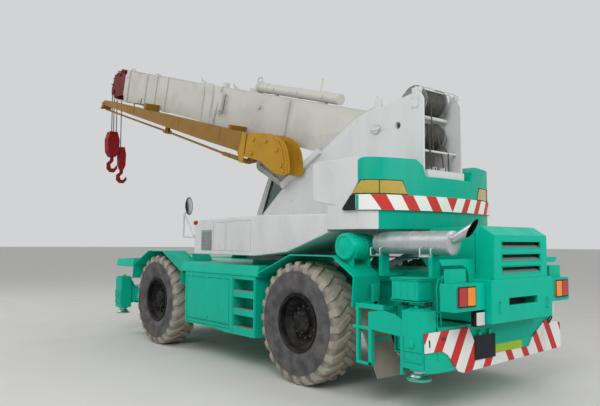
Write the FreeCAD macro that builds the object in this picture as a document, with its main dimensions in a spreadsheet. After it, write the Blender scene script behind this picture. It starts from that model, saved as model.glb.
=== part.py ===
"""Two-axle rough-terrain mobile crane with a four-section boom, drawn as a parametric document.

Lengths are in millimetres and angles in degrees. X runs forward, along the boom, Y to the left and Z up.
Each piece is drawn from the point on the ground under the middle of the rear axle. Its node is then moved
back by origin_ahead, which puts the origin on the ground under the middle of the whole crane.
The boom, its sections and the stowed jib are drawn level, from the boom's foot pin, and then raised.
"""
import FreeCAD, Part
import math
import os
import re
import Sketcher

SIZES = (
    # name, size, what it measures
    ("origin_ahead", 3250, "rear axle to the middle of the crane's box"),
    ("fit_gap", 0.3, "gap between two pieces that seat on each other"),
    # wheels and axles
    ("wheel_base", 3700, "rear axle to front axle"),
    ("wheel_y", 1095, "middle plane of a tyre"),
    ("tyre_radius", 735, "to the tips of the lugs"),
    ("tread_half", 150, "half of the flat tread"),
    ("tyre_half", 217, "half of the tyre's widest section"),
    ("lug_count", 24, "lugs in each of a tyre's two rows"),
    ("lug_deep", 35, "height of a lug"),
    ("lug_wide", 64, "width of a lug, round the tyre"),
    ("lug_lean", 96, "how far a lug's inner end lies ahead of its outer end"),
    ("bead_half", 165, "half of the width between the beads"),
    ("rim_radius", 330, "seat of the beads"),
    ("rim_wall", 14, "thickness of the rim's barrel"),
    ("rim_lip", 20, "height of the rim's flange"),
    ("disc_wall", 26, "thickness of the wheel disc"),
    ("disc_out", 20, "disc's inner face, out from the tyre's middle"),
    ("hub_radius", 150, "planetary hub"),
    ("hub_in", 20, "hub's inner face, in from the tyre's middle"),
    ("hub_out", 150, "hub's outer face, out from the tyre's middle"),
    ("hub_dome", 30, "crown of the hub's cover"),
    ("spindle_radius", 60, "wheel spindle"),
    ("spindle_out", 110, "spindle's end, out from the tyre's middle"),
    ("king_y", 985, "king pin"),
    ("king_radius", 42, "king pin"),
    ("knuckle_radius", 78, "knuckle about the king pin"),
    ("knuckle_half", 130, "half of the knuckle's height"),
    ("yoke_arm", 45, "height of a yoke arm"),
    ("yoke_half", 70, "half of the yoke's width"),
    ("yoke_in", 780, "inner face of the yoke's root"),
    ("yoke_root", 45, "thickness of the yoke's root"),
    ("axle_radius", 105, "axle tube"),
    ("bulb_radius", 225, "differential housing"),
    ("bulb_half", 110, "half of the housing's flat middle"),
    ("bulb_taper", 230, "length of the housing's cone"),
    ("spring_half", 45, "half of a leaf spring's width"),
    ("spring_reach", 560, "axle to the spring's eye"),
    ("spring_leaf", 60, "height of the leaf pack"),
    ("steer_arm", 230, "king pin to the arm's tip"),
    ("steer_arm_deep", 34, "thickness of the steering arm"),
    # frame of the carrier
    ("rail_in", 250, "inner face of a frame rail"),
    ("rail_out", 430, "outer face of a frame rail"),
    ("rail_rear", -1930, "rear end of the rails"),
    ("rail_front", 5335, "front end of the rails"),
    ("rail_top", 1245, "top of the rails"),
    ("rail_low", 560, "underside between the axles"),
    ("rail_end_low", 560, "underside at the ends"),
    ("rail_arch", 950, "underside over an axle"),
    ("arch_half", 640, "half of the rail's arch, at its top"),
    ("arch_foot", 930, "half of the rail's arch, at its foot"),
    ("cross_wide", 120, "width of a cross member"),
    ("deck_half", 1300, "half of the carrier's width"),
    ("deck_top", 1385, "top of the deck"),
    ("deck_lean", 30, "slant of the deck's side strip"),
    ("deck_rear", 800, "rear edge of the wide deck"),
    ("deck_front", 2835, "front edge of the wide deck"),
    ("spine_half", 530, "half of the deck between the wheels"),
    ("nose_front", 5350, "front face of the carrier"),
    ("nose_deck_rear", 4640, "rear edge of the front deck"),
    ("fender_wall", 12, "fender plate"),
    ("fender_in", 875, "inner edge of a fender's raised part"),
    ("well_top", 1500, "top of the wheel well beside the fender"),
    ("well_wall", 12, "wheel-well plate"),
    ("well_half", 440, "half of the well's top"),
    ("well_foot", 640, "half of the well's foot"),
    ("box_rear", 850, "rear face of the side box"),
    ("box_front", 2720, "front face of the side box"),
    ("box_in", 650, "inner face of the side box"),
    ("box_out", "=deck_half - 10", "outer face of the side box"),
    ("box_low", 440, "underside of the side box"),
    ("box_mid_low", 470, "underside where the panel kinks up"),
    ("step_rear", 895, "rear side of the steps"),
    ("step_front", 1375, "front side of the steps"),
    ("step_deep", 220, "depth of a step's recess"),
    ("step_low", 550, "floor of the lowest step"),
    ("step_pitch", 243, "step to step"),
    ("step_high", 155, "height of a recess"),
    # stabilisers
    ("beam_wide", 226, "width of an outrigger beam"),
    ("beam_high", 250, "height of an outrigger beam"),
    ("beam_z", 720, "middle of the beams"),
    ("case_wall", 14, "wall of a beam's housing"),
    ("case_gap", 8, "beam to housing"),
    ("case_out", 1100, "open end of a housing"),
    ("case_tail", "=case_out - 5", "closed end of a housing"),
    ("beam_tail", "=case_tail - 20", "inner end of a beam"),
    ("rear_beam_left", -1798, "middle of the rear left beam"),
    ("rear_beam_right", -1515, "middle of the rear right beam"),
    ("front_beam_left", 5208, "middle of the front left beam"),
    ("front_beam_right", 4925, "middle of the front right beam"),
    ("jack_wide", 262, "jack's casing, along the carrier"),
    ("jack_in", 1112, "inner face of the jack's casing"),
    ("jack_deep", 198, "jack's casing, across the carrier"),
    ("jack_out", "=jack_in + jack_deep", "outer face of the jack's casing"),
    ("jack_low", 480, "underside of the jack's casing"),
    ("jack_top", 1040, "top of the jack's casing"),
    ("jack_bore", 72, "bore of the jack's casing"),
    ("jack_rod", 62, "jack's rod"),
    ("float_radius", 120, "jack's foot"),
    ("float_low", 370, "underside of the foot"),
    ("float_thick", 36, "thickness of the foot"),
    # engine, exhaust and rear end
    ("hood_rear", -2210, "rear face of the engine hood"),
    ("hood_half", 524, "half of the hood's width"),
    ("hood_front", -1400, "front face of the hood"),
    ("hood_low", 1335, "foot of the hood"),
    ("hood_back_top", 1785, "top of the hood's rear face"),
    ("hood_ridge", 1880, "highest edge of the hood"),
    ("hood_ridge_x", -2060, "that edge's place"),
    ("hood_wall", 30, "hood's panels"),
    ("tub_rear", -2226, "rear face of the lower body"),
    ("tub_half", 600, "half of the lower body's width"),
    ("tub_low", 895, "underside of the lower body"),
    ("slot_half", 385, "half of a louvre slot"),
    ("slot_high", 72, "height of a louvre slot"),
    ("slot_first", 1648, "foot of the top slot"),
    ("slot_pitch", 130, "slot to slot"),
    ("tub_slot_low", 1065, "foot of the lower body's slot"),
    ("tub_slot_half", 280, "half of the lower body's slot"),
    ("engine_front", -1460, "front of the engine block"),
    ("engine_rear", -2100, "rear of the engine block"),
    ("engine_top", 1700, "top of the engine block"),
    ("muffler_y", "=deck_half - 400", "muffler's axis, to the left"),
    ("muffler_z", 1702, "muffler's axis, up"),
    ("muffler_radius", 122, "muffler's drum"),
    ("muffler_rear", -1996, "muffler's rear cap"),
    ("muffler_front", -1004, "muffler's front cap"),
    ("pipe_radius", 50, "exhaust pipe"),
    ("pipe_wall", 4, "wall of the exhaust pipe"),
    ("pipe_rise", 28, "the exhaust pipe's slope, up to the rear"),
    ("cleaner_x", -775, "air cleaner's axis, along"),
    ("cleaner_z", 1655, "air cleaner's axis, up"),
    ("cleaner_radius", 150, "air cleaner's drum"),
    ("cleaner_long", 450, "air cleaner's length"),
    ("cleaner_out", "=deck_half - 50", "air cleaner's outer cap"),
    ("cleaner_in", "=cleaner_out - cleaner_long", "air cleaner's inner end"),
    ("lamp_rear", -2155, "rear face of the lamp boxes"),
    ("lamp_deep", 170, "depth of a lamp box"),
    ("lamp_out", 1121, "outer side of a lamp box"),
    ("lamp_low", 1040, "underside of a lamp box"),
    ("lamp_top", 1308, "top of a lamp box"),
    ("lens_deep", 16, "height of the lenses on a lamp box"),
    ("flap_top", 690, "top of a mud flap"),
    ("flap_low", 290, "foot of a mud flap"),
    ("flap_rear", -1290, "rear end of a mud flap, at its foot"),
    ("flap_thick", 12, "thickness of a mud flap"),
    ("board_x", "=rear_beam_left - beam_wide / 2 - case_gap - case_wall - 17", "rear face of the warning board"),
    ("board_wall", 12, "warning board's plate"),
    # slewing superstructure
    ("slew_x", 1630, "slewing axis"),
    ("ring_radius", 640, "slewing ring, outside"),
    ("ring_bore", 470, "slewing ring, inside"),
    ("ring_split", 1440, "plane between the ring's halves"),
    ("floor_low", "=ring_split + 60", "underside of the turntable at the ring"),
    ("floor_wide_low", "=floor_low + 62", "underside of the turntable's wide floor"),
    ("floor_top", "=floor_wide_low + 58", "top of the turntable's floor"),
    ("plate_out", 380, "outer face of a turret plate"),
    ("plate_wall", 30, "turret plate"),
    ("tail_low", "=floor_low + 350", "underside of everything behind the turret"),
    ("pivot_x", -480, "boom's foot pin"),
    ("pivot_z", 3130, "boom's foot pin"),
    ("tail_back", 840, "foot pin to the counterweight's rear face"),
    ("tail_deep", 366, "length of the counterweight"),
    ("tail_radius", "=slew_x - pivot_x + tail_back", "counterweight's rear face, from the slewing axis"),
    ("tail_half", 1250, "half of the counterweight's width"),
    ("tail_corner", 400, "radius of the counterweight's corners, in plan"),
    ("corner_y", "=tail_half - tail_corner", "middle of a rounded corner, sideways"),
    ("corner_x", "=slew_x - sqrt((tail_radius - tail_corner)^2 - corner_y^2)", "middle of a rounded corner"),
    ("tail_front", "=pivot_x - tail_back + tail_deep", "front face of the counterweight's ends"),
    ("tail_high", 800, "height of the counterweight's ends"),
    ("tail_top", "=tail_low + tail_high", "top of the counterweight's ends"),
    ("tail_mid_top", "=tail_top - 190", "floor of the counterweight's notch"),
    ("plate_rear", "=pivot_x - tail_back + 110", "rear edge of the turret plates"),
    ("band_low", "=tail_low + 210", "foot of the warning band"),
    ("band_top", "=band_low + 173", "top of the warning band"),
    ("band_out", 30, "how far the band stands proud"),
    ("drum_half", 190, "half of a winch drum's width"),
    # housings and cab
    ("housing_front", 2625, "front end of the long housing"),
    ("housing_out", 1200, "outer face of the housings"),
    ("housing_top", "=band_low + 2", "top of the housings"),
    ("cab_rear", 1450, "rear face of the cab"),
    ("cab_long", 1820, "length of the cab"),
    ("cab_front", "=cab_rear + cab_long", "front of the cab at its waist"),
    ("cab_low", "=floor_wide_low + 30 + fit_gap", "underside of the cab, on its sill"),
    ("cab_high", 1448, "height of the cab"),
    ("cab_top", "=cab_low + cab_high", "roof of the cab"),
    ("cab_in", -450, "side of the cab that faces the boom"),
    ("cab_wide", 800, "width of the cab"),
    ("cab_out", "=cab_in - cab_wide", "outer side of the cab"),
    ("cab_wall", 40, "thickness of the cab's panels"),
    # boom
    ("pivot_radius", 60, "boom's foot pin"),
    ("luff_rest", 16.15, "boom's angle as parked"),
    ("boom_half", 330, "half of the base section's width"),
    ("boom_top", 205, "top plate, from the foot pin"),
    ("boom_low", -473, "bottom plate, from the foot pin"),
    ("boom_wall", 12, "boom's plates"),
    ("boom_step", 40, "section to section, on each side"),
    ("boom_tail", -150, "rear end of the base section"),
    ("boom_front", 8100, "front end of the base section"),
    ("section_tail", 150, "rear end of the second section"),
    ("section_lead", 130, "each section's front, past the one outside it"),
    ("pad_long", 180, "length of a wear pad"),
    ("pad_half", 110, "half of a wear pad's width"),
    ("head_pin", 9210, "foot pin to the lower head sheaves"),
    ("head_pin_n", -330, "head sheaves' pin, from the foot pin's line"),
    ("sheave_radius", 190, "head sheaves"),
    ("jib_in", 450, "inner side of the stowed jib"),
    ("jib_out", 680, "outer side of the stowed jib"),
    # luffing cylinder
    ("cylinder_x", 450, "cylinder's foot pin"),
    ("cylinder_z", 1950, "cylinder's foot pin"),
    ("eye_s", 3300, "rod's eye, along the boom"),
    ("eye_n", -800, "rod's eye, from the foot pin's line"),
    ("barrel_radius", 150, "cylinder's barrel"),
    ("barrel_bore", 120, "cylinder's bore"),
    ("barrel_long", 2250, "foot pin to the barrel's end"),
    ("rod_radius", 75, "cylinder's rod"),
    ("piston_s", 580, "foot pin to the piston, as parked"),
)

doc = FreeCAD.newDocument("MobileCrane")
sheet = doc.addObject("Spreadsheet::Sheet", "Sizes")
for row, (name, amount, meaning) in enumerate(SIZES, start=1):
    sheet.set(f"A{row}", name)
    sheet.set(f"B{row}", str(amount))
    sheet.setAlias(f"B{row}", name)
    sheet.set(f"C{row}", meaning)
doc.recompute()
NAMES = {name for name, amount, meaning in SIZES}
WORD = re.compile(r"[a-z_]\w*")
nodes = []


def sized(text):
    """Turn the plain words of a formula into references to the sheet's cells."""
    return WORD.sub(lambda word: "Sizes." + word[0] if word[0] in NAMES else word[0], str(text))


def bind(item, **formulas):
    """Tie properties of an object to formulas; x, y and z stand for its place."""
    for prop, formula in formulas.items():
        path = f".Placement.Base.{prop}" if prop in ("x", "y", "z") else prop
        item.setExpression(path, sized(formula))
    return item


def box(name, x, y, z):
    """A block between pairs of formulas, low and high, along each axis."""
    item = doc.addObject("Part::Box", name)
    spans = (("Length", "x", x), ("Width", "y", y), ("Height", "z", z))
    for prop, axis, (low, high) in spans:
        bind(item, **{prop: f"({high}) - ({low})", axis: low})
    return item


def bar(name, x, y, z, radius):
    """A round bar: the axis given as a pair, low and high, is the one it runs along."""
    item = doc.addObject("Part::Cylinder", name)
    turns = {"x": FreeCAD.Rotation(0, 90, 0), "y": FreeCAD.Rotation(0, 0, -90), "z": FreeCAD.Rotation()}
    for axis, span in (("x", x), ("y", y), ("z", z)):
        if isinstance(span, tuple):
            item.Placement.Rotation = turns[axis]
            bind(item, Height=f"({span[1]}) - ({span[0]})", **{axis: span[0]})
        else:
            bind(item, **{axis: span})
    return bind(item, Radius=radius)


def drawn(body, plane, loops, offset):
    """A sketch of closed straight-sided loops; each corner lies at two formulas from the origin."""
    sketch = body.newObject("Sketcher::SketchObject", body.Name + "Sketch")
    support = [item for item in body.Origin.OriginFeatures if item.Role == plane + "_Plane"]
    sketch.AttachmentSupport = [(support[0], "")]
    sketch.MapMode = "FlatFace"
    sketch.setExpression(".AttachmentOffset.Base.z", sized(offset))
    for loop in loops:
        first = sketch.GeometryCount
        count = len(loop)
        turn = 2 * math.pi / count
        start = [FreeCAD.Vector(100 * math.cos(i * turn), 100 * math.sin(i * turn)) for i in range(count)]
        for i in range(count):
            sketch.addGeometry(Part.LineSegment(start[i], start[(i + 1) % count]), False)
        for i, corner in enumerate(loop):
            following = first + (i + 1) % count
            sketch.addConstraint(Sketcher.Constraint("Coincident", first + i, 2, following, 1))
            for kind, formula, place in zip(("DistanceX", "DistanceY"), corner, start[i]):
                held = sketch.addConstraint(Sketcher.Constraint(kind, -1, 1, first + i, 1, place))
                sketch.setExpression(f"Constraints[{held}]", sized(formula))
    return sketch


def slab(name, plane, low, high, *loops):
    """Closed loops drawn on a plane and padded from low to high across it; inner loops are holes."""
    body = doc.addObject("PartDesign::Body", name)
    start = f"-({high})" if plane == "XZ" else low
    pad = body.newObject("PartDesign::Pad", name + "Pad")
    pad.Profile = drawn(body, plane, loops, start)
    bind(pad, Length=f"({high}) - ({low})")
    body.Tip = pad
    return body


def turned(name, axis, *loops):
    """Loops of (along, radius) corners, turned about the body's own axis."""
    body = doc.addObject("PartDesign::Body", name)
    plane = "XY" if axis == "Y" else "XZ"
    if axis != "X":
        loops = [[(radius, along) for along, radius in loop] for loop in loops]
    turn = body.newObject("PartDesign::Revolution", name + "Turn")
    turn.Profile = drawn(body, plane, loops, "0")
    lines = [item for item in body.Origin.OriginFeatures if item.Role == axis + "_Axis"]
    turn.ReferenceAxis = (lines[0], [""])
    turn.Angle = 360
    body.Tip = turn
    return body


def join(name, *parts):
    """One shape from pieces that touch, or a set of solids from pieces that don't."""
    item = doc.addObject("Part::MultiFuse", name)
    item.Shapes = list(parts)
    item.Refine = True
    return item


def cut(name, base, *tools):
    """A piece with others taken out of it."""
    item = doc.addObject("Part::Cut", name)
    item.Base = base
    item.Tool = tools[0] if len(tools) == 1 else join(name + "Tools", *tools)
    item.Refine = True
    return item


def common(name, first, second):
    """The part of one piece that lies in another."""
    item = doc.addObject("Part::Common", name)
    item.Base = first
    item.Tool = second
    item.Refine = True
    return item


def mirrored(name, item):
    """The same piece on the other side of the crane."""
    other = doc.addObject("Part::Mirroring", name)
    other.Source = item
    other.Normal = FreeCAD.Vector(0, 1, 0)
    return other


def node(label, item, x="0", y="0", z="0", tilt=None):
    """Name a finished piece and set it in the crane's own frame, raised about Y where tilt is given."""
    item.Label = label
    if tilt is not None:
        item.Placement.Rotation = FreeCAD.Rotation(FreeCAD.Vector(0, -1, 0), 1)
        item.setExpression(".Placement.Rotation.Angle", sized(tilt))
    bind(item, x=f"({x}) - origin_ahead", y=y, z=z)
    nodes.append(item)
    return item


def both(formula):
    """A span that is the same on both sides of the middle plane."""
    return (f"-({formula})", formula)


SIDES = (("left", 1), ("right", -1))
ENDS = (("rear", "0"), ("front", "wheel_base"))

# Wheels: tyre, rim with its hub, and the knuckle that steers them
TYRE = (
    # half section across the tyre, to the lugs' tips
    ("-bead_half", "rim_radius + fit_gap"),
    ("-tyre_half", "tyre_radius - 195"),
    ("-tyre_half + 5", "tyre_radius - 95"),
    ("-tread_half", "tyre_radius"),
    ("tread_half", "tyre_radius"),
    ("tyre_half - 5", "tyre_radius - 95"),
    ("tyre_half", "tyre_radius - 195"),
    ("bead_half", "rim_radius + fit_gap"),
)
CARCASS = (
    # the same without its lugs
    ("-bead_half", "rim_radius + fit_gap"),
    ("-tyre_half", "tyre_radius - 195"),
    ("-tyre_half + 5", "tyre_radius - 95"),
    ("-tread_half - 12", "tyre_radius - lug_deep"),
    ("tread_half + 12", "tyre_radius - lug_deep"),
    ("tyre_half - 5", "tyre_radius - 95"),
    ("tyre_half", "tyre_radius - 195"),
    ("bead_half", "rim_radius + fit_gap"),
)


def rim_outline(out):
    """Half section of the rim, disc and hub; out is 1 where the wheel's outside faces +Y, else -1."""
    corners = (
        ("-hub_in", "spindle_radius + fit_gap"),
        ("-hub_in", "hub_radius"),
        ("disc_out", "hub_radius"),
        ("disc_out", "rim_radius - rim_wall"),
        ("-bead_half - 26", "rim_radius - rim_wall"),
        ("-bead_half - 26", "rim_radius + rim_lip"),
        ("-bead_half - 14", "rim_radius + rim_lip"),
        ("-bead_half - 14", "rim_radius"),
        ("bead_half + 14", "rim_radius"),
        ("bead_half + 14", "rim_radius + rim_lip"),
        ("bead_half + 26", "rim_radius + rim_lip"),
        ("bead_half + 26", "rim_radius - rim_wall"),
        ("disc_out + disc_wall + 70", "rim_radius - rim_wall"),
        ("disc_out + disc_wall", "rim_radius - 80"),
        ("disc_out + disc_wall", "hub_radius + 60"),
        ("disc_out + disc_wall + 30", "hub_radius"),
        ("hub_out - hub_dome", "hub_radius - 10"),
        ("hub_out", "hub_radius - 60"),
        ("hub_out", "0"),
        ("spindle_out + 5", "0"),
        ("spindle_out + 5", "spindle_radius + fit_gap"),
    )
    return [(f"{out} * ({along})", radius) for along, radius in corners]


tread = turned("Tread", "Y", TYRE)
carcass = turned("Carcass", "Y", CARCASS)
for row, out in (("Left", 1), ("Right", -1)):
    ahead = f"-{out} * pi * tyre_radius / (2 * lug_count)"
    pad = carcass.newObject("PartDesign::Pad", "Lug" + row)
    pad.Profile = drawn(carcass, "XY", [[
        (f"{ahead} + lug_lean / 2 - lug_wide", f"{out} * -12"),
        (f"{ahead} + lug_lean / 2", f"{out} * -12"),
        (f"{ahead} - lug_lean / 2 + lug_wide * 0.7", f"{out} * tyre_half"),
        (f"{ahead} - lug_lean / 2 - lug_wide * 0.7", f"{out} * tyre_half"),
    ]], "tyre_radius - 90")
    bind(pad, Length="120")
    ring = carcass.newObject("PartDesign::PolarPattern", "Lugs" + row)
    ring.Originals = [pad]
    turn_axis = [item for item in carcass.Origin.OriginFeatures if item.Role == "Y_Axis"]
    ring.Axis = (turn_axis[0], [""])
    ring.Angle = 360
    bind(ring, Occurrences="lug_count")
    carcass.Tip = ring
tyre = common("Tyre", carcass, tread)

for end, axle_x in ENDS:
    for side, out in SIDES:
        place = f"_{end}_{side}"
        tyre_copy = doc.addObject("Part::Compound", "Tyre" + place)
        tyre_copy.Links = [tyre]
        node("tyre" + place, tyre_copy, x=axle_x, y=f"{out} * wheel_y", z="tyre_radius")
        rim = turned("Rim" + place, "Y", rim_outline(out))
        node("rim" + place, rim, x=axle_x, y=f"{out} * wheel_y", z="tyre_radius")

        inner = f"{out} * wheel_y"
        block = bar("KnuckleBlock" + place, "0", "0", both("knuckle_half"), "knuckle_radius")
        king = bar("KingPin" + place, "0", "0", both("knuckle_half + yoke_arm"), "king_radius")
        reach = ("0", "wheel_y + spindle_out - king_y") if out > 0 else ("-(wheel_y + spindle_out - king_y)", "0")
        spindle = bar("Spindle" + place, "0", reach, "0", "spindle_radius")
        arm_y = both("steer_arm_deep / 2")
        arm = box("SteerArm" + place, ("-steer_arm", "-knuckle_radius + 12"), arm_y, ("-95", "-55"))
        knuckle = join("Knuckle" + place, block, king, spindle, arm)
        node("knuckle" + place, knuckle, x=axle_x, y=f"{out} * king_y", z="tyre_radius")

# Axles: a housing with its differential, and a forked yoke at each end
AXLE = (
    ("-yoke_in", "0"),
    ("-yoke_in", "axle_radius"),
    ("-bulb_half - bulb_taper", "axle_radius"),
    ("-bulb_half", "bulb_radius"),
    ("bulb_half", "bulb_radius"),
    ("bulb_half + bulb_taper", "axle_radius"),
    ("yoke_in", "axle_radius"),
    ("yoke_in", "0"),
)
axles = []
for end, axle_x in ENDS:
    beam = turned("AxleBeam_" + end, "Y", AXLE)
    pieces = [bind(beam, x=axle_x, z="tyre_radius")]
    wide = (f"{axle_x} - yoke_half", f"{axle_x} + yoke_half")
    for side, out in SIDES:
        name = f"_{end}_{side}"
        root_y = ("yoke_in", "yoke_in + yoke_root") if out > 0 else ("-yoke_in - yoke_root", "-yoke_in")
        arm_y = ("yoke_in", "king_y + 60") if out > 0 else ("-king_y - 60", "-yoke_in")
        reach = "(knuckle_half + yoke_arm)"
        pieces.append(box("YokeRoot" + name, wide, root_y, (f"tyre_radius - {reach}", f"tyre_radius + {reach}")))
        for level, low, high in (
            ("Top", "tyre_radius + knuckle_half + fit_gap", "tyre_radius + knuckle_half + yoke_arm"),
            ("Low", "tyre_radius - knuckle_half - yoke_arm", "tyre_radius - knuckle_half - fit_gap"),
        ):
            arm = box(f"Yoke{level}{name}", wide, arm_y, (low, high))
            hole = bar(f"Yoke{level}Hole{name}", axle_x, f"{out} * king_y", (low, high), "king_radius + fit_gap")
            pieces.append(cut(f"Yoke{level}Arm{name}", arm, hole))
        rail_y = "(rail_in + rail_out) / 2"
        leaf_y = (f"{out} * {rail_y} - spring_half", f"{out} * {rail_y} + spring_half")
        leaf_z = "tyre_radius + axle_radius - 5"
        leaves = slab("Spring" + name, "XZ", *leaf_y, (
            (f"{axle_x} - spring_reach", "rail_arch"),
            (f"{axle_x} - spring_reach", "rail_arch - 40"),
            (f"{axle_x} - 120", leaf_z),
            (f"{axle_x} + 120", leaf_z),
            (f"{axle_x} + spring_reach", "rail_arch - 40"),
            (f"{axle_x} + spring_reach", "rail_arch"),
            (f"{axle_x} + spring_reach - 60", "rail_arch"),
            (f"{axle_x} + 120", f"{leaf_z} + spring_leaf"),
            (f"{axle_x} - 120", f"{leaf_z} + spring_leaf"),
            (f"{axle_x} - spring_reach + 60", "rail_arch"),
        ))
        pieces.append(leaves)
    axles.append(join("Axle_" + end, *pieces))
node("axles", join("Axles", *axles))

# Frame: two deep rails, cross members, the tubes that house the outrigger beams and the ring's seat
RAIL = (
    ("rail_rear", "rail_top"),
    ("rail_rear", "rail_end_low"),
    ("-arch_foot", "rail_end_low"),
    ("-arch_half", "rail_arch"),
    ("arch_half", "rail_arch"),
    ("arch_foot", "rail_low"),
    ("wheel_base - arch_foot", "rail_low"),
    ("wheel_base - arch_half", "rail_arch"),
    ("wheel_base + arch_half", "rail_arch"),
    ("wheel_base + arch_foot", "rail_end_low"),
    ("rail_front", "rail_end_low"),
    ("rail_front", "rail_top"),
)
rail_left = slab("RailLeft", "XZ", "rail_in", "rail_out", RAIL)
rail_right = slab("RailRight", "XZ", "-rail_out", "-rail_in", RAIL)
frame = [rail_left, rail_right]
for name, place in (("Rear", "-1180"), ("MidRear", "1150"), ("MidFront", "2500")):
    span = (f"{place} - cross_wide / 2", f"{place} + cross_wide / 2")
    reach = "rail_in + 10" if name == "Rear" else "box_in - fit_gap"
    frame.append(box("Cross" + name, span, both(reach), ("rail_low + 150", "rail_low + 350")))
BEAMS = (
    # end, side, outward sign, middle of the beam
    ("rear", "left", 1, "rear_beam_left"),
    ("rear", "right", -1, "rear_beam_right"),
    ("front", "left", 1, "front_beam_left"),
    ("front", "right", -1, "front_beam_right"),
)
bores, pads = [], []
for end, side, out, middle in BEAMS:
    name = f"Case_{end}_{side}"
    half_in = "(beam_wide / 2 + case_gap)"
    rise_in = "(beam_high / 2 + case_gap)"
    length = ("-case_tail", "case_out") if out > 0 else ("-case_out", "case_tail")
    wall = "case_wall"
    frame.append(box(
        name,
        (f"{middle} - {half_in} - {wall}", f"{middle} + {half_in} + {wall}"),
        length,
        (f"beam_z - {rise_in} - {wall}", f"beam_z + {rise_in} + {wall}"),
    ))
    bore = ("-case_tail - 10", "case_out + 10") if out > 0 else ("-case_out - 10", "case_tail + 10")
    bores.append(box(
        name + "Bore",
        (f"{middle} - {half_in}", f"{middle} + {half_in}"),
        bore,
        (f"beam_z - {rise_in}", f"beam_z + {rise_in}"),
    ))
    mouth = ("case_out - 160", "case_out - 10") if out > 0 else ("-case_out + 10", "-case_out + 160")
    pads.append(box(name + "Pad", (f"{middle} - 60", f"{middle} + 60"), mouth,
                    (f"beam_z - {rise_in} - 1", "beam_z - beam_high / 2 - fit_gap")))
seat = bar("RingSeat", "slew_x", "0", ("rail_top - 60", "ring_split"), "ring_radius")
seat_hole = bar("RingSeatHole", "slew_x", "0", ("rail_top - 70", "ring_split + 10"), "ring_bore")
frame.append(seat)
hollow_frame = cut("HollowFrame", join("ChassisSolid", *frame), seat_hole, *bores)
node("chassis", join("Chassis", hollow_frame, *pads))

# Deck: wide between the wheels, narrow over the axles, wide again at both ends
SECTION = (
    ("-deck_half", "rail_top + fit_gap"),
    ("deck_half", "rail_top + fit_gap"),
    ("deck_half", "rail_top + 20"),
    ("deck_half - deck_lean", "deck_top"),
    ("-deck_half + deck_lean", "deck_top"),
    ("-deck_half", "rail_top + 20"),
)
wide_deck = slab("WideDeck", "YZ", "deck_rear", "deck_front", SECTION)
nose_deck = slab("NoseDeck", "YZ", "nose_deck_rear", "nose_front", SECTION)
spine = box("SpineDeck", ("hood_front + 10", "nose_front"), both("spine_half"), ("rail_top + fit_gap", "deck_top"))
deck_hole = bar("DeckHole", "slew_x", "0", ("rail_top - 10", "deck_top + 10"), "ring_radius + 10")
node("deck", cut("Deck", join("DeckSolid", wide_deck, nose_deck, spine), deck_hole))

# Fenders: folded plates over the tyres, with a lower wheel well on the inner side
FENDERS = {
    # corners of the folded plate: ahead of the axle, height
    "rear": (("800", "1245"), ("800", "1290"), ("127", "1550"), ("-650", "1550"), ("-985", "1336"), ("-965", "1010")),
    "front": (("-865", "1050"), ("-865", "1240"), ("-216", "1548"), ("300", "1548"), ("900", "1290"), ("940", "1050")),
}


def folded(corners, centre_z, shrink):
    """Corners of a bent plate: its outside, then back along its inside, drawn in towards the wheel."""
    inner = [(f"({x}) * (1 - {shrink})", f"{centre_z} + ({z} - {centre_z}) * (1 - {shrink})") for x, z in corners]
    return list(corners) + inner[::-1]


fenders = []
for end, axle_x in ENDS:
    outline = [(f"{axle_x} + ({x})", z) for x, z in folded(FENDERS[end], "tyre_radius", "fender_wall / 800")]
    plate = slab("Fender_" + end, "XZ", "fender_in", "deck_half", outline)
    well = slab("Well_" + end, "XZ", "spine_half + fit_gap", "fender_in + 5", (
        (f"{axle_x} - well_foot", "rail_top"),
        (f"{axle_x} - well_half", "well_top"),
        (f"{axle_x} + well_half", "well_top"),
        (f"{axle_x} + well_foot", "rail_top"),
        (f"{axle_x} + well_foot - well_wall * 1.1", "rail_top"),
        (f"{axle_x} + well_half - well_wall * 0.7", "well_top - well_wall"),
        (f"{axle_x} - well_half + well_wall * 0.7", "well_top - well_wall"),
        (f"{axle_x} - well_foot + well_wall * 1.1", "rail_top"),
    ))
    arch = join("FenderLeft_" + end, plate, well)
    fenders += [arch, mirrored("FenderRight_" + end, arch)]
node("fenders", join("Fenders", *fenders))

# Side boxes with three steps let into each
shell = slab("SideBox", "XZ", "box_in", "box_out", (
    ("box_rear", "box_low"),
    ("step_front + 200", "box_low"),
    ("step_front + 560", "box_mid_low"),
    ("box_front", "box_mid_low"),
    ("box_front", "rail_top"),
    ("box_rear", "rail_top"),
))
steps = []
for level in range(3):
    floor = f"step_low + {level} * step_pitch"
    steps.append(box(f"Step_{level}", ("step_rear", "step_front"), ("box_out - step_deep", "box_out + 10"),
                     (floor, f"{floor} + step_high")))
side_box = cut("SideBoxCut", shell, *steps)
node("side_boxes", join("SideBoxes", side_box, mirrored("SideBoxRight", side_box)))

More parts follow.
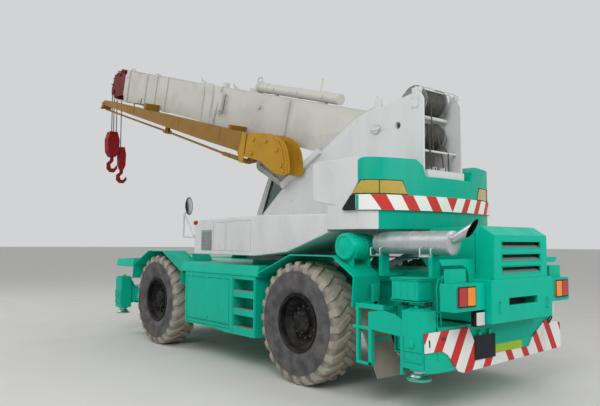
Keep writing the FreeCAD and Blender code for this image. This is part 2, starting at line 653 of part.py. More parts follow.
# Outriggers: four beams that slide sideways, each with a jack at its end
for end, side, out, middle in BEAMS:
    name = f"_{end}_{side}"
    half = "beam_wide / 2"
    length = ("-beam_tail", "jack_in + 10") if out > 0 else ("-jack_in - 10", "beam_tail")
    tube = box("Beam" + name, (f"-{half}", half), length, ("beam_z - beam_high / 2", "beam_z + beam_high / 2"))
    jack_y = ("jack_in", "jack_out") if out > 0 else ("-jack_out", "-jack_in")
    casing = box("JackCasing" + name, both("jack_wide / 2"), jack_y, ("jack_low", "jack_top"))
    centre = f"{out} * (jack_in + jack_out) / 2"
    bore = bar("JackBore" + name, "0", centre, ("jack_low - 10", "jack_top - 40"), "jack_bore")
    node("outrigger_beam" + name, cut("OutriggerBeam" + name, join("BeamSolid" + name, tube, casing), bore), x=middle)
    rod = bar("JackRod" + name, "0", "0", ("float_low + 10", "jack_top - 60"), "jack_rod")
    guide = bar("JackGuide" + name, "0", "0", ("jack_top - 160", "jack_top - 60"), "jack_bore - fit_gap")
    foot = turned("Float" + name, "Z", (
        ("float_low", "0"),
        ("float_low", "float_radius"),
        ("float_low + 14", "float_radius"),
        ("float_low + float_thick", "float_radius - 30"),
        ("float_low + float_thick + 20", "jack_rod + 12"),
        ("float_low + float_thick + 20", "0"),
    ))
    node("jack" + name, join("Jack" + name, rod, guide, foot), x=middle, y=centre)

# Engine hood over a lower body, open below, with louvre slots in the rear face
hood_profile = (
    ("hood_rear", "hood_low"),
    ("hood_rear", "hood_back_top"),
    ("hood_ridge_x", "hood_ridge"),
    ("hood_front", "hood_ridge - 20"),
    ("hood_front", "hood_low"),
)
hood = slab("Hood", "XZ", "-hood_half", "hood_half", hood_profile)
tub = box("Tub", ("tub_rear", "hood_front"), both("tub_half"), ("tub_low", "hood_low"))
hollow = slab("HoodHollow", "XZ", "-hood_half + hood_wall", "hood_half - hood_wall", (
    ("hood_rear + hood_wall", "tub_low - 10"),
    ("hood_rear + hood_wall", "hood_back_top - hood_wall"),
    ("hood_ridge_x", "hood_ridge - hood_wall"),
    ("hood_front - hood_wall", "hood_ridge - 20 - hood_wall"),
    ("hood_front - hood_wall", "tub_low - 10"),
))
slots = [box("RailPassage", ("hood_front - hood_wall - 10", "hood_front + 10"), both("hood_half - hood_wall"),
             ("tub_low - 10", "rail_top + fit_gap"))]
for level in range(3):
    foot = f"slot_first - {level} * slot_pitch"
    slots.append(box(f"Louvre_{level}", ("hood_rear - 10", "hood_rear + hood_wall + 10"), both("slot_half"),
                     (foot, f"{foot} + slot_high")))
slots.append(box("TubSlot", ("tub_rear - 10", "hood_rear + hood_wall + 10"), both("tub_slot_half"),
                 ("tub_slot_low", "tub_slot_low + slot_high")))
node("engine_hood", cut("EngineHood", join("HoodSolid", hood, tub), hollow, *slots))
engine = slab("Engine", "XZ", "-rail_in + fit_gap", "rail_in - fit_gap", (
    ("engine_rear", "tub_low + 40"),
    ("engine_rear", "engine_top"),
    ("engine_front", "engine_top"),
    ("engine_front", "tub_low + 40"),
))
node("engine", engine)

# Exhaust: a drum with domed caps on two cradles, and a pipe that rises to the rear
drum = turned("MufflerDrum", "X", (
    ("muffler_rear - 14", "0"),
    ("muffler_rear - 14", "muffler_radius - 40"),
    ("muffler_rear", "muffler_radius"),
    ("muffler_front", "muffler_radius"),
    ("muffler_front + 14", "muffler_radius - 40"),
    ("muffler_front + 14", "0"),
))
drum_piece = bind(drum, y="muffler_y", z="muffler_z")
pipe_solid = turned("TailPipe", "X", (
    ("-30", "0"),
    ("-30", "pipe_radius"),
    ("300", "pipe_radius"),
    ("300", "pipe_radius - pipe_wall"),
    ("60", "pipe_radius - pipe_wall"),
    ("60", "0"),
))
pipe_solid.Placement.Rotation = FreeCAD.Rotation(FreeCAD.Vector(0, -1, 0), 180)
pipe_solid.setExpression(".Placement.Rotation.Angle", sized("180 - pipe_rise"))
bind(pipe_solid, x="muffler_rear - 34", y="muffler_y", z="muffler_z + 46")
mouth_cut = slab("MouthCut", "XZ", "muffler_y - 2 * pipe_radius", "muffler_y + 2 * pipe_radius", (
    ("muffler_rear - 130", "muffler_z - 2"),
    ("muffler_rear - 298", "muffler_z + 269"),
    ("muffler_rear - 424", "muffler_z + 269"),
    ("muffler_rear - 424", "muffler_z - 2"),
))
pipe = cut("TailPipeCut", pipe_solid, mouth_cut)
cradles = []
for name, place, root in (("Rear", "muffler_rear + 245", "hood_half"), ("Front", "muffler_front - 60", "spine_half")):
    span = (f"{place} - 25", f"{place} + 25")
    post = box("CradlePost" + name, span, ("muffler_y - 60", "muffler_y + 60"),
               ("hood_low + fit_gap", "muffler_z - muffler_radius + 12"))
    foot = box("CradleFoot" + name, span, (f"{root} + fit_gap", "muffler_y + 60"),
               ("hood_low + fit_gap", "hood_low + 30"))
    cradles += [post, foot]
node("muffler", join("Muffler", drum_piece, pipe, *cradles))

# Air cleaner: a drum across the carrier, on a saddle on the rear fender
cleaner = turned("AirCleanerDrum", "Y", (
    ("cleaner_in", "0"),
    ("cleaner_in", "cleaner_radius - 50"),
    ("cleaner_in + 60", "cleaner_radius"),
    ("cleaner_out - 20", "cleaner_radius"),
    ("cleaner_out", "cleaner_radius - 20"),
    ("cleaner_out", "0"),
))
bind(cleaner, x="cleaner_x", z="cleaner_z")
saddle = slab("CleanerSaddle", "XZ", "cleaner_in + 100", "cleaner_out - 60", (
    ("cleaner_x - 85", "1416 + fit_gap"),
    ("cleaner_x + 85", "1525 + fit_gap"),
    ("cleaner_x + 85", "cleaner_z - 110"),
    ("cleaner_x - 85", "cleaner_z - 110"),
))
node("air_cleaner", join("AirCleaner", cleaner, saddle))

# Rear end: lamp boxes with their lenses, a rubber flap hung behind each rear wheel, and the warning board
lamps = box("LampBox", ("lamp_rear", "lamp_rear + lamp_deep"), ("tub_half + fit_gap", "lamp_out"),
            ("lamp_low", "lamp_top"))
lenses = [
    box("Lens" + name, ("lamp_rear - lens_deep", "lamp_rear + 1"), (f"lamp_out - {outer}", f"lamp_out - {inner}"),
        ("lamp_low + 55", "lamp_top - 40"))
    for name, inner, outer in (("Stop", 55, 185), ("Turn", 190, 320))
]
lamp_set = join("LampSet", lamps, *lenses)
node("lamp_boxes", join("LampBoxes", lamp_set, mirrored("LampSetRight", lamp_set)))
stay = slab("FlapStay", "XZ", "king_y - 149", "deck_half - 50", (
    ("-950", "1006 - fit_gap"),
    ("-965", "1010 - fit_gap"),
    ("-1100", "flap_top"),
    ("-1100 + flap_thick", "flap_top"),
))
sheet_flap = slab("FlapSheet", "XZ", "king_y - 149", "deck_half - 50", (
    ("-1100", "flap_top"),
    ("-1100 + flap_thick", "flap_top"),
    ("flap_rear + flap_thick", "flap_low"),
    ("flap_rear", "flap_low"),
))
flap = join("MudFlap", stay, sheet_flap)
node("mud_flaps", join("MudFlaps", flap, mirrored("MudFlapRight", flap)))
board = slab("Board", "YZ", "board_x", "board_x + board_wall", (
    ("600", "838"), ("470", "640"), ("330", "525"), ("-560", "525"), ("-640", "620"),
    ("-930", "790"), ("-1290", "740"), ("-1305", "440"), ("700", "393"), ("780", "417"), ("865", "500"),
    ("940", "590"), ("1030", "640"), ("1305", "650"), ("1305", "838"),
))
case_back = "rear_beam_left - beam_wide / 2 - case_gap - case_wall"
blocks = [box("BoardBlock" + side, ("board_x + board_wall - 2", f"{case_back} - fit_gap"), across, up)
          for side, across, up in (("Left", ("640", "1000"), ("680", "800")), ("Right", ("-930", "-760"), ("590", "680")))]
node("warning_board", join("WarningBoard", board, *blocks))

# Turntable: ring, floor, turret plates that carry the boom, and the walls between them
plate_corners = (
    ("plate_rear", "tail_low"),
    ("plate_rear", "pivot_z + 270"),
    ("plate_rear + 60", "pivot_z + 370"),
    ("pivot_x - 80", "pivot_z + 265"),
    ("pivot_x - 65", "pivot_z + 370"),
    ("pivot_x - 30", "pivot_z + 416"),
    ("pivot_x", "pivot_z + 416"),
    ("pivot_x + 30", "pivot_z + 370"),
    ("pivot_x + 35", "pivot_z + 295"),
    ("pivot_x + 420", "pivot_z + 191"),
    ("pivot_x + 1119", "pivot_z - 195"),
    ("pivot_x + 1861", "pivot_z - 585"),
    ("slew_x + 430", "floor_top + 425"),
    ("slew_x + 670", "floor_wide_low"),
    ("pivot_x - 120", "floor_wide_low"),
    ("pivot_x - 200", "tail_low"),
)
plate = slab("TurretPlate", "XZ", "plate_out - plate_wall", "plate_out", plate_corners)
edge_bar = slab("EdgeBar", "XZ", "plate_out - 1", "plate_out + 60", (
    ("pivot_x + 1040", "pivot_z - 195"), ("pivot_x + 1080", "pivot_z - 120"),
    ("pivot_x + 1920", "pivot_z - 550"), ("pivot_x + 1880", "pivot_z - 630"),
))
half_turret = join("HalfTurret", plate, edge_bar)
plate_in = "plate_out - plate_wall + 1"
table = [
    half_turret,
    mirrored("HalfTurretRight", half_turret),
    bar("RingTop", "slew_x", "0", ("ring_split + fit_gap", "floor_low + 1"), "ring_radius"),
    box("TableBase", ("slew_x - ring_radius", "slew_x + ring_radius"), both("plate_out"),
        ("floor_low", "floor_wide_low + 1")),
    box("Floor", ("pivot_x - 120", "slew_x + 670"), both("plate_out"), ("floor_wide_low", "floor_top")),
    box("TailFloor", ("plate_rear", "pivot_x - 160"), both(plate_in), ("tail_low", "tail_low + 45")),
    slab("TailRiser", "XZ", "-plate_out + plate_wall - 1", plate_in, (
        ("pivot_x - 120", "floor_wide_low"), ("pivot_x - 60", "floor_wide_low"),
        ("pivot_x - 160", "tail_low + 45"), ("pivot_x - 200", "tail_low"),
    )),
    box("TailWall", ("plate_rear", "plate_rear + 30"), both(plate_in), ("tail_low", "tail_mid_top + 30")),
    box("TailShelf", ("plate_rear - 45", "plate_rear + 160"), both(plate_in),
        ("tail_mid_top + 4", "tail_mid_top + 90")),
    box("NoseWall", ("slew_x + 490", "slew_x + 530"), both(plate_in), ("floor_wide_low + 20", "floor_top + 260")),
    box("CabSill", ("cab_rear + 20", "cab_rear + 1700"), ("cab_out + 10", "-plate_out + 1"),
        ("floor_wide_low", "floor_wide_low + 30")),
]
table_holes = [
    bar("PivotHole", "pivot_x", both("plate_out + 10"), "pivot_z", "pivot_radius + fit_gap"),
    bar("CylinderHole", "cylinder_x", both("plate_out + 10"), "cylinder_z", "55 + fit_gap"),
    bar("SightHole", "pivot_x - 348", both("plate_out + 10"), "pivot_z - 4", "42"),
    bar("RingTopHole", "slew_x", "0", ("ring_split - 10", "floor_low - 10"), "ring_bore"),
]
node("turntable", cut("Turntable", join("TurntableSolid", *table), *table_holes))

# Counterweight: a block whose rear face follows the slewing circle, with round corners and a proud band
behind = "slew_x - tail_radius - 100"


def rounded(name, span, proud, front, bottom, top):
    """The counterweight's plan between two heights: an arc about the slewing axis and two round corners."""
    sector = common(name + "Sector", bar(name + "Arc", "slew_x", "0", (bottom, top), f"tail_radius + {proud}"), slab(
        name + "Wedge", "XY", bottom, top,
        (("slew_x", "0"), ("2 * corner_x - slew_x", "2 * corner_y"), ("2 * corner_x - slew_x", "-2 * corner_y")),
    ))
    corners = [bar(f"{name}Corner_{side}", "corner_x", f"{out} * corner_y", (bottom, top), f"tail_corner + {proud}")
               for side, out in SIDES]
    return common(name, join(name + "Plan", sector, *corners), box(name + "Room", (behind, front), span, (bottom, top)))


tail_ends = common("TailEnds", rounded("TailBlock", both("tail_half + 1"), "0", "tail_front", "tail_low", "tail_top"),
                   slab("TailSide", "YZ", behind, "tail_front", (
                       ("-tail_half", "tail_low"),
                       ("-tail_half", "tail_top - 110"),
                       ("-tail_half + 30", "tail_top - 45"),
                       ("-tail_half + 100", "tail_top"),
                       ("-plate_out - 186", "tail_top"),
                       ("-plate_out - 92", "tail_top - 68"),
                       ("-plate_out - 61", "tail_mid_top"),
                       ("plate_out + 61", "tail_mid_top"),
                       ("plate_out + 92", "tail_top - 68"),
                       ("plate_out + 186", "tail_top"),
                       ("tail_half - 100", "tail_top"),
                       ("tail_half - 30", "tail_top - 45"),
                       ("tail_half", "tail_top - 110"),
                       ("tail_half", "tail_low"),
                   )))
band = rounded("Band", both("tail_half + band_out + 1"), "band_out", "tail_front", "band_low", "band_top")
tail_cuts = [box("PlateRoom", ("plate_rear - fit_gap", "tail_front + 10"), both("plate_out + fit_gap"),
                 ("tail_low - 10", "tail_top + 10"))]
for side, out in SIDES:
    foot_y = ("tail_half - 206", "tail_half + 60") if out > 0 else ("-tail_half - 60", "-tail_half + 206")
    tail_cuts.append(box("TailFoot_" + side, (behind, "tail_front + 10"), foot_y, ("tail_low - 10", "band_low")))
node("counterweight", cut("Counterweight", join("TailSolid", tail_ends, band), *tail_cuts))

# White housings of the superstructure
front_housing = slab("FrontHousing", "XZ", "plate_out + fit_gap", "housing_out", (
    ("housing_front - 5", "tail_low - 335"),
    ("slew_x - 630", "tail_low - 335"),
    ("slew_x - 1330", "tail_low - 273"),
    ("pivot_x + 30", "tail_low - 40"),
    ("pivot_x + 30", "housing_top - 27"),
    ("slew_x - 586", "housing_top"),
    ("housing_front - 174", "housing_top - 27"),
    ("housing_front", "housing_top - 132"),
))
node("front_housing", front_housing)
right_housing = slab("RightHousing", "XZ", "-housing_out", "-plate_out - fit_gap", (
    ("cab_rear - 10", "floor_wide_low - 2"),
    ("slew_x - 630", "floor_wide_low - 2"),
    ("slew_x - 1330", "floor_wide_low + 15"),
    ("pivot_x + 30", "tail_low - 40"),
    ("pivot_x + 30", "housing_top"),
    ("cab_rear - 10", "housing_top"),
))
node("right_housing", right_housing)
rear_housing = join(
    "RearHousing",
    box("RearHousingFoot", ("tail_front + 4", "pivot_x + 30 - fit_gap"), ("plate_out + fit_gap", "tail_half - 50"),
        ("tail_low", "housing_top + 64")),
    rounded("RearHousingSkin", ("tail_half - 206 + fit_gap", "tail_half - 50"), "-1", "tail_front + 5",
            "tail_low", "band_low - fit_gap"),
    slab("RearHousingHead", "XZ", "plate_out + fit_gap", "tail_half - 50", (
        ("tail_front + 4", "housing_top + 63"),
        ("pivot_x - 179", "housing_top + 53"),
        ("pivot_x + 250", "housing_top + 126"),
        ("pivot_x + 285", "housing_top + 160"),
        ("pivot_x + 290", "tail_top - 60"),
        ("pivot_x + 270", "tail_top - 15"),
        ("pivot_x + 230", "tail_top + 5"),
        ("tail_front + 4", "tail_top + 5"),
    )),
)
node("rear_housings", join("RearHousings", rear_housing, mirrored("RearHousingRight", rear_housing)))

# Winches between the turret plates
winches = []
for name, x, z, reach in (
    ("Upper", "pivot_x - 461", "pivot_z + 310", "190"),
    ("Lower", "pivot_x - 450", "pivot_z - 100", "172"),
):
    spool = turned("Spool" + name, "Y", (
        ("-plate_out + plate_wall + fit_gap", "0"),
        ("-plate_out + plate_wall + fit_gap", "70"),
        ("-drum_half - 20", "70"),
        ("-drum_half - 20", reach),
        ("-drum_half", reach),
        ("-drum_half", f"{reach} - 45"),
        ("drum_half", f"{reach} - 45"),
        ("drum_half", reach),
        ("drum_half + 20", reach),
        ("drum_half + 20", "70"),
        ("plate_out - plate_wall - fit_gap", "70"),
        ("plate_out - plate_wall - fit_gap", "0"),
    ))
    winches.append(bind(spool, x=x, z=z))
node("winches", join("Winches", *winches))

# Cab: a hollow shell with its windows cut, a sliding door on the outer side, panes and a seat
SILL_Z, HEAD_Z = "cab_low + 528", "cab_top - 170"
cab_outer = slab("CabOuter", "XZ", "cab_out", "cab_in", (
    ("cab_rear", "cab_low"),
    ("cab_front - 70", "cab_low"),
    ("cab_front", "cab_low + 208"),
    ("cab_front - 12", "cab_low + 622"),
    ("cab_front - 420", "cab_top - 65"),
    ("cab_front - 480", "cab_top"),
    ("cab_rear + 70", "cab_top"),
    ("cab_rear", "cab_top - 70"),
))
cab_hollow = slab("CabHollow", "XZ", "cab_out + cab_wall", "cab_in - cab_wall", (
    ("cab_rear + cab_wall", "cab_low + cab_wall"),
    ("cab_front - cab_wall - 65", "cab_low + cab_wall"),
    ("cab_front - cab_wall", "cab_low + 213"),
    ("cab_front - cab_wall - 12", "cab_low + 612"),
    ("cab_front - cab_wall - 413", "cab_top - 90"),
    ("cab_front - cab_wall - 462", "cab_top - cab_wall"),
    ("cab_rear + cab_wall + 48", "cab_top - cab_wall"),
    ("cab_rear + cab_wall", "cab_top - 87"),
))
cab_windows = [
    slab("Windshield", "XZ", "cab_out + 60", "cab_in - 60", (
        ("cab_front + 10", "cab_low + 670"),
        ("cab_front - 110", "cab_low + 608"),
        ("cab_front - 470", "cab_top - 170"),
        ("cab_front - 350", "cab_top - 108"),
    )),
    slab("BoomSideWindow", "XZ", "cab_in - cab_wall - 10", "cab_in + 10", (
        ("cab_rear + 190", SILL_Z), ("cab_front - 150", SILL_Z), ("cab_front - 505", HEAD_Z), ("cab_rear + 190", HEAD_Z),
    )),
    box("DoorWay", ("cab_rear + 480", "cab_rear + 1250"), ("cab_out - 10", "cab_out + cab_wall + 10"),
        ("cab_low + 98", "cab_top - 160")),
    slab("QuarterWindow", "XZ", "cab_out - 10", "cab_out + cab_wall + 10", (
        ("cab_rear + 1330", SILL_Z), ("cab_front - 150", SILL_Z), ("cab_rear + 1340", "cab_top - 220"),
    )),
    box("RearWindow", ("cab_rear - 10", "cab_rear + cab_wall + 10"), ("cab_out + 100", "cab_in - 100"),
        ("cab_low + 608", "cab_top - 190")),
    box("RoofWindow", ("cab_rear + 300", "cab_rear + 1150"), ("cab_out + 150", "cab_in - 150"),
        ("cab_top - cab_wall - 10", "cab_top + 10")),
]
door_rails = [
    box("DoorRail" + name, ("cab_rear + 10", "cab_rear + 1310"), ("cab_out - 5 + fit_gap", "cab_out + 10"),
        (low, f"{low} + 30"))
    for name, low in (("Top", "cab_top - 155"), ("Low", "cab_low + 60"))
]
cab_body = cut("CabBody", cab_outer, cab_hollow, *cab_windows)
node("cab_shell", join("CabShell", cab_body, *door_rails))
panes = [
    slab("WindshieldPane", "XZ", "cab_out + 60 + fit_gap", "cab_in - 60 - fit_gap", (
        ("cab_front - 38", "cab_low + 646"),
        ("cab_front - 44", "cab_low + 643"),
        ("cab_front - 404", "cab_top - 136"),
        ("cab_front - 398", "cab_top - 133"),
    )),
    slab("BoomSidePane", "XZ", "cab_in - 23", "cab_in - 17", (
        ("cab_rear + 190 + fit_gap", f"{SILL_Z} + fit_gap"),
        ("cab_front - 151", f"{SILL_Z} + fit_gap"),
        ("cab_front - 505 - fit_gap", f"{HEAD_Z} - fit_gap"),
        ("cab_rear + 190 + fit_gap", f"{HEAD_Z} - fit_gap"),
    )),
    slab("QuarterPane", "XZ", "cab_out + 17", "cab_out + 23", (
        ("cab_rear + 1330 + fit_gap", f"{SILL_Z} + fit_gap"),
        ("cab_front - 151", f"{SILL_Z} + fit_gap"),
        ("cab_rear + 1340 + fit_gap", "cab_top - 221"),
    )),
    box("RearPane", ("cab_rear + 17", "cab_rear + 23"), ("cab_out + 100 + fit_gap", "cab_in - 100 - fit_gap"),
        ("cab_low + 608 + fit_gap", "cab_top - 190 - fit_gap")),
    box("RoofPane", ("cab_rear + 300 + fit_gap", "cab_rear + 1150 - fit_gap"),
        ("cab_out + 150 + fit_gap", "cab_in - 150 - fit_gap"), ("cab_top - 23", "cab_top - 17")),
]
node("cab_glass", join("CabGlass", *panes))
door_outer = box("DoorOuter", ("cab_rear + 440", "cab_rear + 1290"), ("cab_out - 40", "cab_out - 5"),
                 ("cab_low + 58", "cab_top - 120"))
door_window = box("DoorWindow", ("cab_rear + 530", "cab_rear + 1200"), ("cab_out - 50", "cab_out + 5"),
                  (SILL_Z, "cab_top - 200"))
node("cab_door", cut("CabDoor", door_outer, door_window))
FLOOR_Z = "cab_low + cab_wall + fit_gap"
seat_parts = [
    box("SeatPost", ("cab_rear + 450", "cab_rear + 750"), ("cab_out + 250", "cab_in - 250"),
        (FLOOR_Z, "cab_low + 358")),
    slab("SeatShell", "XZ", "cab_out + 150", "cab_in - 150", (
        ("cab_rear + 330", "cab_low + 358"),
        ("cab_rear + 850", "cab_low + 358"),
        ("cab_rear + 850", "cab_low + 468"),
        ("cab_rear + 470", "cab_low + 468"),
        ("cab_rear + 350", "cab_low + 1108"),
        ("cab_rear + 250", "cab_low + 1088"),
    )),
    box("ConsoleLeft", ("cab_rear + 650", "cab_rear + 1150"), ("cab_in - 140", "cab_in - 50"),
        (FLOOR_Z, "cab_low + 558")),
    box("Pedestal", ("cab_front - 420", "cab_front - 320"), ("cab_out + 300", "cab_in - 300"),
        (FLOOR_Z, "cab_low + 558")),
]
node("cab_seat", join("CabSeat", *seat_parts))

# Boom: a base section that turns on the foot pin, and three sections that slide in it on pads
base_side = (
    ("boom_tail", "-200"),
    ("boom_tail", "110"),
    ("boom_tail + 80", "boom_top"),
    ("boom_front", "boom_top"),
    ("boom_front", "boom_low"),
    ("60", "boom_low"),
)
base = [slab("BaseSection", "XZ", "-boom_half", "boom_half", base_side)]
for level, place in enumerate(("6081", "6575", "7071")):
    base.append(box(f"Rib_{level}", (f"{place} - 55", f"{place} + 55"), both("boom_half + 18"),
                    ("boom_low - 18", "boom_top + 18")))
base.append(box("Collar", ("boom_front - 150", "boom_front"), both("boom_half + 26"), ("boom_low - 26", "boom_top + 26")))
base.append(slab("SidePlate", "XZ", "-boom_half - 22", "boom_half + 22", (
    ("3916", "boom_top"), ("4634", "boom_top"), ("4531", "boom_low"), ("4052", "boom_low"),
)))
base.append(box("SideBar", ("1915", "1985"), both("boom_half + 25"), ("-427", "176")))
base.append(bar("BoomPin", "0", both("plate_out + 30"), "0", "pivot_radius"))
ear = slab("Ear", "XZ", "110", "150", (
    ("eye_s - 100", "boom_low + 5"),
    ("eye_s + 230", "boom_low + 5"),
    ("eye_s + 80", "eye_n - 95"),
    ("eye_s - 80", "eye_n - 95"),
))
base += [ear, mirrored("EarRight", ear)]
base_room = box("BaseRoom", ("section_tail - 60", "boom_front + 10"), both("boom_half - boom_wall"),
                ("boom_low + boom_wall", "boom_top - boom_wall"))
base_hollow = cut("BaseHollow", join("BaseSolid", *base), base_room)


def pad_pair(level):
    """Wear pads inside a section's mouth, and on top of the tail of the section within it."""
    grow = f"{level} * boom_step"
    mouth = f"boom_front + {level} * section_lead"
    low = f"boom_low + {grow} + boom_wall"
    return box(f"MouthPad_{level}", (f"{mouth} - pad_long", f"{mouth} - 10"), both("pad_half"),
               (f"{low} - 1", f"boom_low + {grow} + boom_step - fit_gap"))


node("boom_base", join("BoomBase", base_hollow, pad_pair(0)), x="pivot_x", z="pivot_z", tilt="luff_rest")
for level in (1, 2, 3):
    grow = f"{level} * boom_step"
    half = f"boom_half - {grow}"
    top, low = f"boom_top - {grow}", f"boom_low + {grow}"
    tail_s = f"section_tail + {level} * 40"
    mouth = f"boom_front + {level} * section_lead"
    tube = box(f"Section_{level}", (tail_s, mouth), both(half), (low, top))
    room = box(f"SectionRoom_{level}", (f"{tail_s} - 10", f"{mouth} + 10"), both(f"{half} - boom_wall"),
               (f"{low} + boom_wall", f"{top} - boom_wall"))
    rim_band = box(f"SectionRim_{level}", (f"{mouth} - 60", mouth), both(f"{half} + 14"), (f"{low} - 14", f"{top} + 14"))
    tail_pad = box(f"TailPad_{level}", (f"{tail_s} + 20", f"{tail_s} + 20 + pad_long"), both("pad_half"),
                   (f"{top} - 1", f"{top} + boom_step - boom_wall - fit_gap"))
    section = cut(f"SectionTube_{level}", join(f"SectionOuter_{level}", tube, rim_band, tail_pad), room)
    if level < 3:
        section = join(f"BoomSection_{level}", section, pad_pair(level))
    node(f"boom_section_{level + 1}", section, x="pivot_x", z="pivot_z", tilt="luff_rest")

# Boom head: two cheeks on the inner section's end, with a row of sheaves on each pin
head_s = "boom_front + 3 * section_lead"
cheek = slab("Cheek", "XZ", "150", "172", (
    (f"{head_s} - 40", "40"), (f"{head_s} + 5", "60"), (f"{head_s} + 75", "130"), ("head_pin - 150", "150"),
    ("head_pin + 60", "60"),
    ("head_pin + 150", "head_pin_n + 60"), ("head_pin + 110", "head_pin_n - 110"), ("head_pin - 90", "head_pin_n - 130"),
    (f"{head_s} - 40", "-330"),
))
head = [cheek, mirrored("CheekRight", cheek)]
head.append(box("HeadBlock", (f"{head_s} + fit_gap", f"{head_s} + 60"), both("172"), ("-345", "76")))
for name, s, n, radius in (("Lower", "head_pin", "head_pin_n", "sheave_radius"), ("Upper", "head_pin - 260", "90", "150")):
    head.append(bar("HeadPin" + name, s, both("190"), n, "38"))
    for level in (-1, 0, 1):
        sheave = turned(f"HeadSheave{name}_{level}".replace("-", "m"), "Y", (
            ("-24", "0"), ("-24", radius), ("0", f"{radius} - 22"), ("24", radius), ("24", "0"),
        ))
        head.append(bind(sheave, x=s, y=f"{level} * 95", z=n))
node("boom_head", join("BoomHead", *head), x="pivot_x", z="pivot_z", tilt="luff_rest")

# White tube on top of the boom, on two brackets
tube = turned("TopTube", "X", (
    ("983", "0"), ("983", "78"), ("2700", "78"), ("2700", "84"), ("2930", "84"), ("2930", "95"), ("2981", "95"), ("2981", "0"),
))
bind(tube, y="190", z="boom_top + 98")
tube_feet = [box(f"TubeFoot_{level}", (f"{place} - 30", f"{place} + 30"), ("160", "220"), ("boom_top + fit_gap", "boom_top + 40"))
             for level, place in enumerate(("1300", "2500"))]
node("top_tube", join("TopTubeSet", tube, *tube_feet), x="pivot_x", z="pivot_z", tilt="luff_rest")

# Stowed jib: a tapered box with a forked foot, held on two brackets on the boom's left side
jib_box = slab("JibBox", "XZ", "jib_in + 20", "jib_out - 20", (
    ("2350", "-445"), ("2350", "-902"), ("2650", "-902"), ("8534", "-745"), ("8399", "-544"), ("2650", "-445"),
))
fork = slab("JibFork", "XZ", "jib_in", "jib_out", (
    ("2540", "-400"), ("2540", "-930"), ("2300", "-930"), ("1420", "-849"), ("1420", "-740"), ("2200", "-770"),
    ("2200", "-560"), ("1500", "-480"), ("1540", "-360"),
))
brackets = [box(f"JibBracket_{level}", (f"{place} - 60", f"{place} + 60"), ("boom_half + fit_gap", "jib_in + 30"),
                ("-470 + 20", f"{low} + 60")) for level, (place, low) in enumerate((("3000", "-470"), ("6300", "-470")))]
hangers = [box(f"JibHanger_{level}", (f"{place} - 60", f"{place} + 60"), ("jib_in + 20", "jib_in + 31"),
               ("-640", "-470 + 60")) for level, place in enumerate(("3000", "6300"))]
node("jib", join("Jib", jib_box, fork, *brackets, *hangers), x="pivot_x", z="pivot_z", tilt="luff_rest")

# Luffing cylinder: the barrel turns on its foot pin and the rod slides in it up to the boom's ears
RISE = "luff_rest * 1deg"
EYE_X = f"(pivot_x + eye_s * cos({RISE}) - eye_n * sin({RISE}))"
EYE_Z = f"(pivot_z + eye_s * sin({RISE}) + eye_n * cos({RISE}))"
CYLINDER_TILT = f"atan2({EYE_Z} - cylinder_z; {EYE_X} - cylinder_x)"
CYLINDER_LONG = f"sqrt(({EYE_X} - cylinder_x)^2 + ({EYE_Z} - cylinder_z)^2)"
barrel = turned("Barrel", "X", (
    ("80", "0"),
    ("80", "barrel_radius"),
    ("barrel_long", "barrel_radius"),
    ("barrel_long", "rod_radius + fit_gap"),
    ("barrel_long - 50", "rod_radius + fit_gap"),
    ("barrel_long - 50", "barrel_bore"),
    ("120", "barrel_bore"),
    ("120", "0"),
))
barrel_eye = bar("BarrelEye", "0", both("140"), "0", "110")
barrel_pin = bar("BarrelPin", "0", both("plate_out - 2"), "0", "55")
node("luff_barrel", join("LuffBarrel", barrel, barrel_eye, barrel_pin), x="cylinder_x", z="cylinder_z", tilt=CYLINDER_TILT)
rod = turned("Rod", "X", (
    ("piston_s - 30", "0"),
    ("piston_s - 30", "barrel_bore - fit_gap"),
    ("piston_s + 30", "barrel_bore - fit_gap"),
    ("piston_s + 30", "rod_radius"),
    (f"{CYLINDER_LONG} - 60", "rod_radius"),
    (f"{CYLINDER_LONG} - 60", "0"),
))
rod_eye = bar("RodEye", CYLINDER_LONG, both("88"), "0", "92")
rod_pin = bar("RodPin", CYLINDER_LONG, both("100"), "0", "48")
node("luff_rod", join("LuffRod", rod, rod_eye, rod_pin), x="cylinder_x", z="cylinder_z", tilt=CYLINDER_TILT)

# Hooks: rope falls with a block on the left and a ball hook on the right, hung plumb from the head's pin
HEAD_X = f"(pivot_x + head_pin * cos({RISE}) - head_pin_n * sin({RISE}))"
HEAD_Z = f"(pivot_z + head_pin * sin({RISE}) + head_pin_n * cos({RISE}))"
ROPE_X = "sheave_radius + 11 + fit_gap"


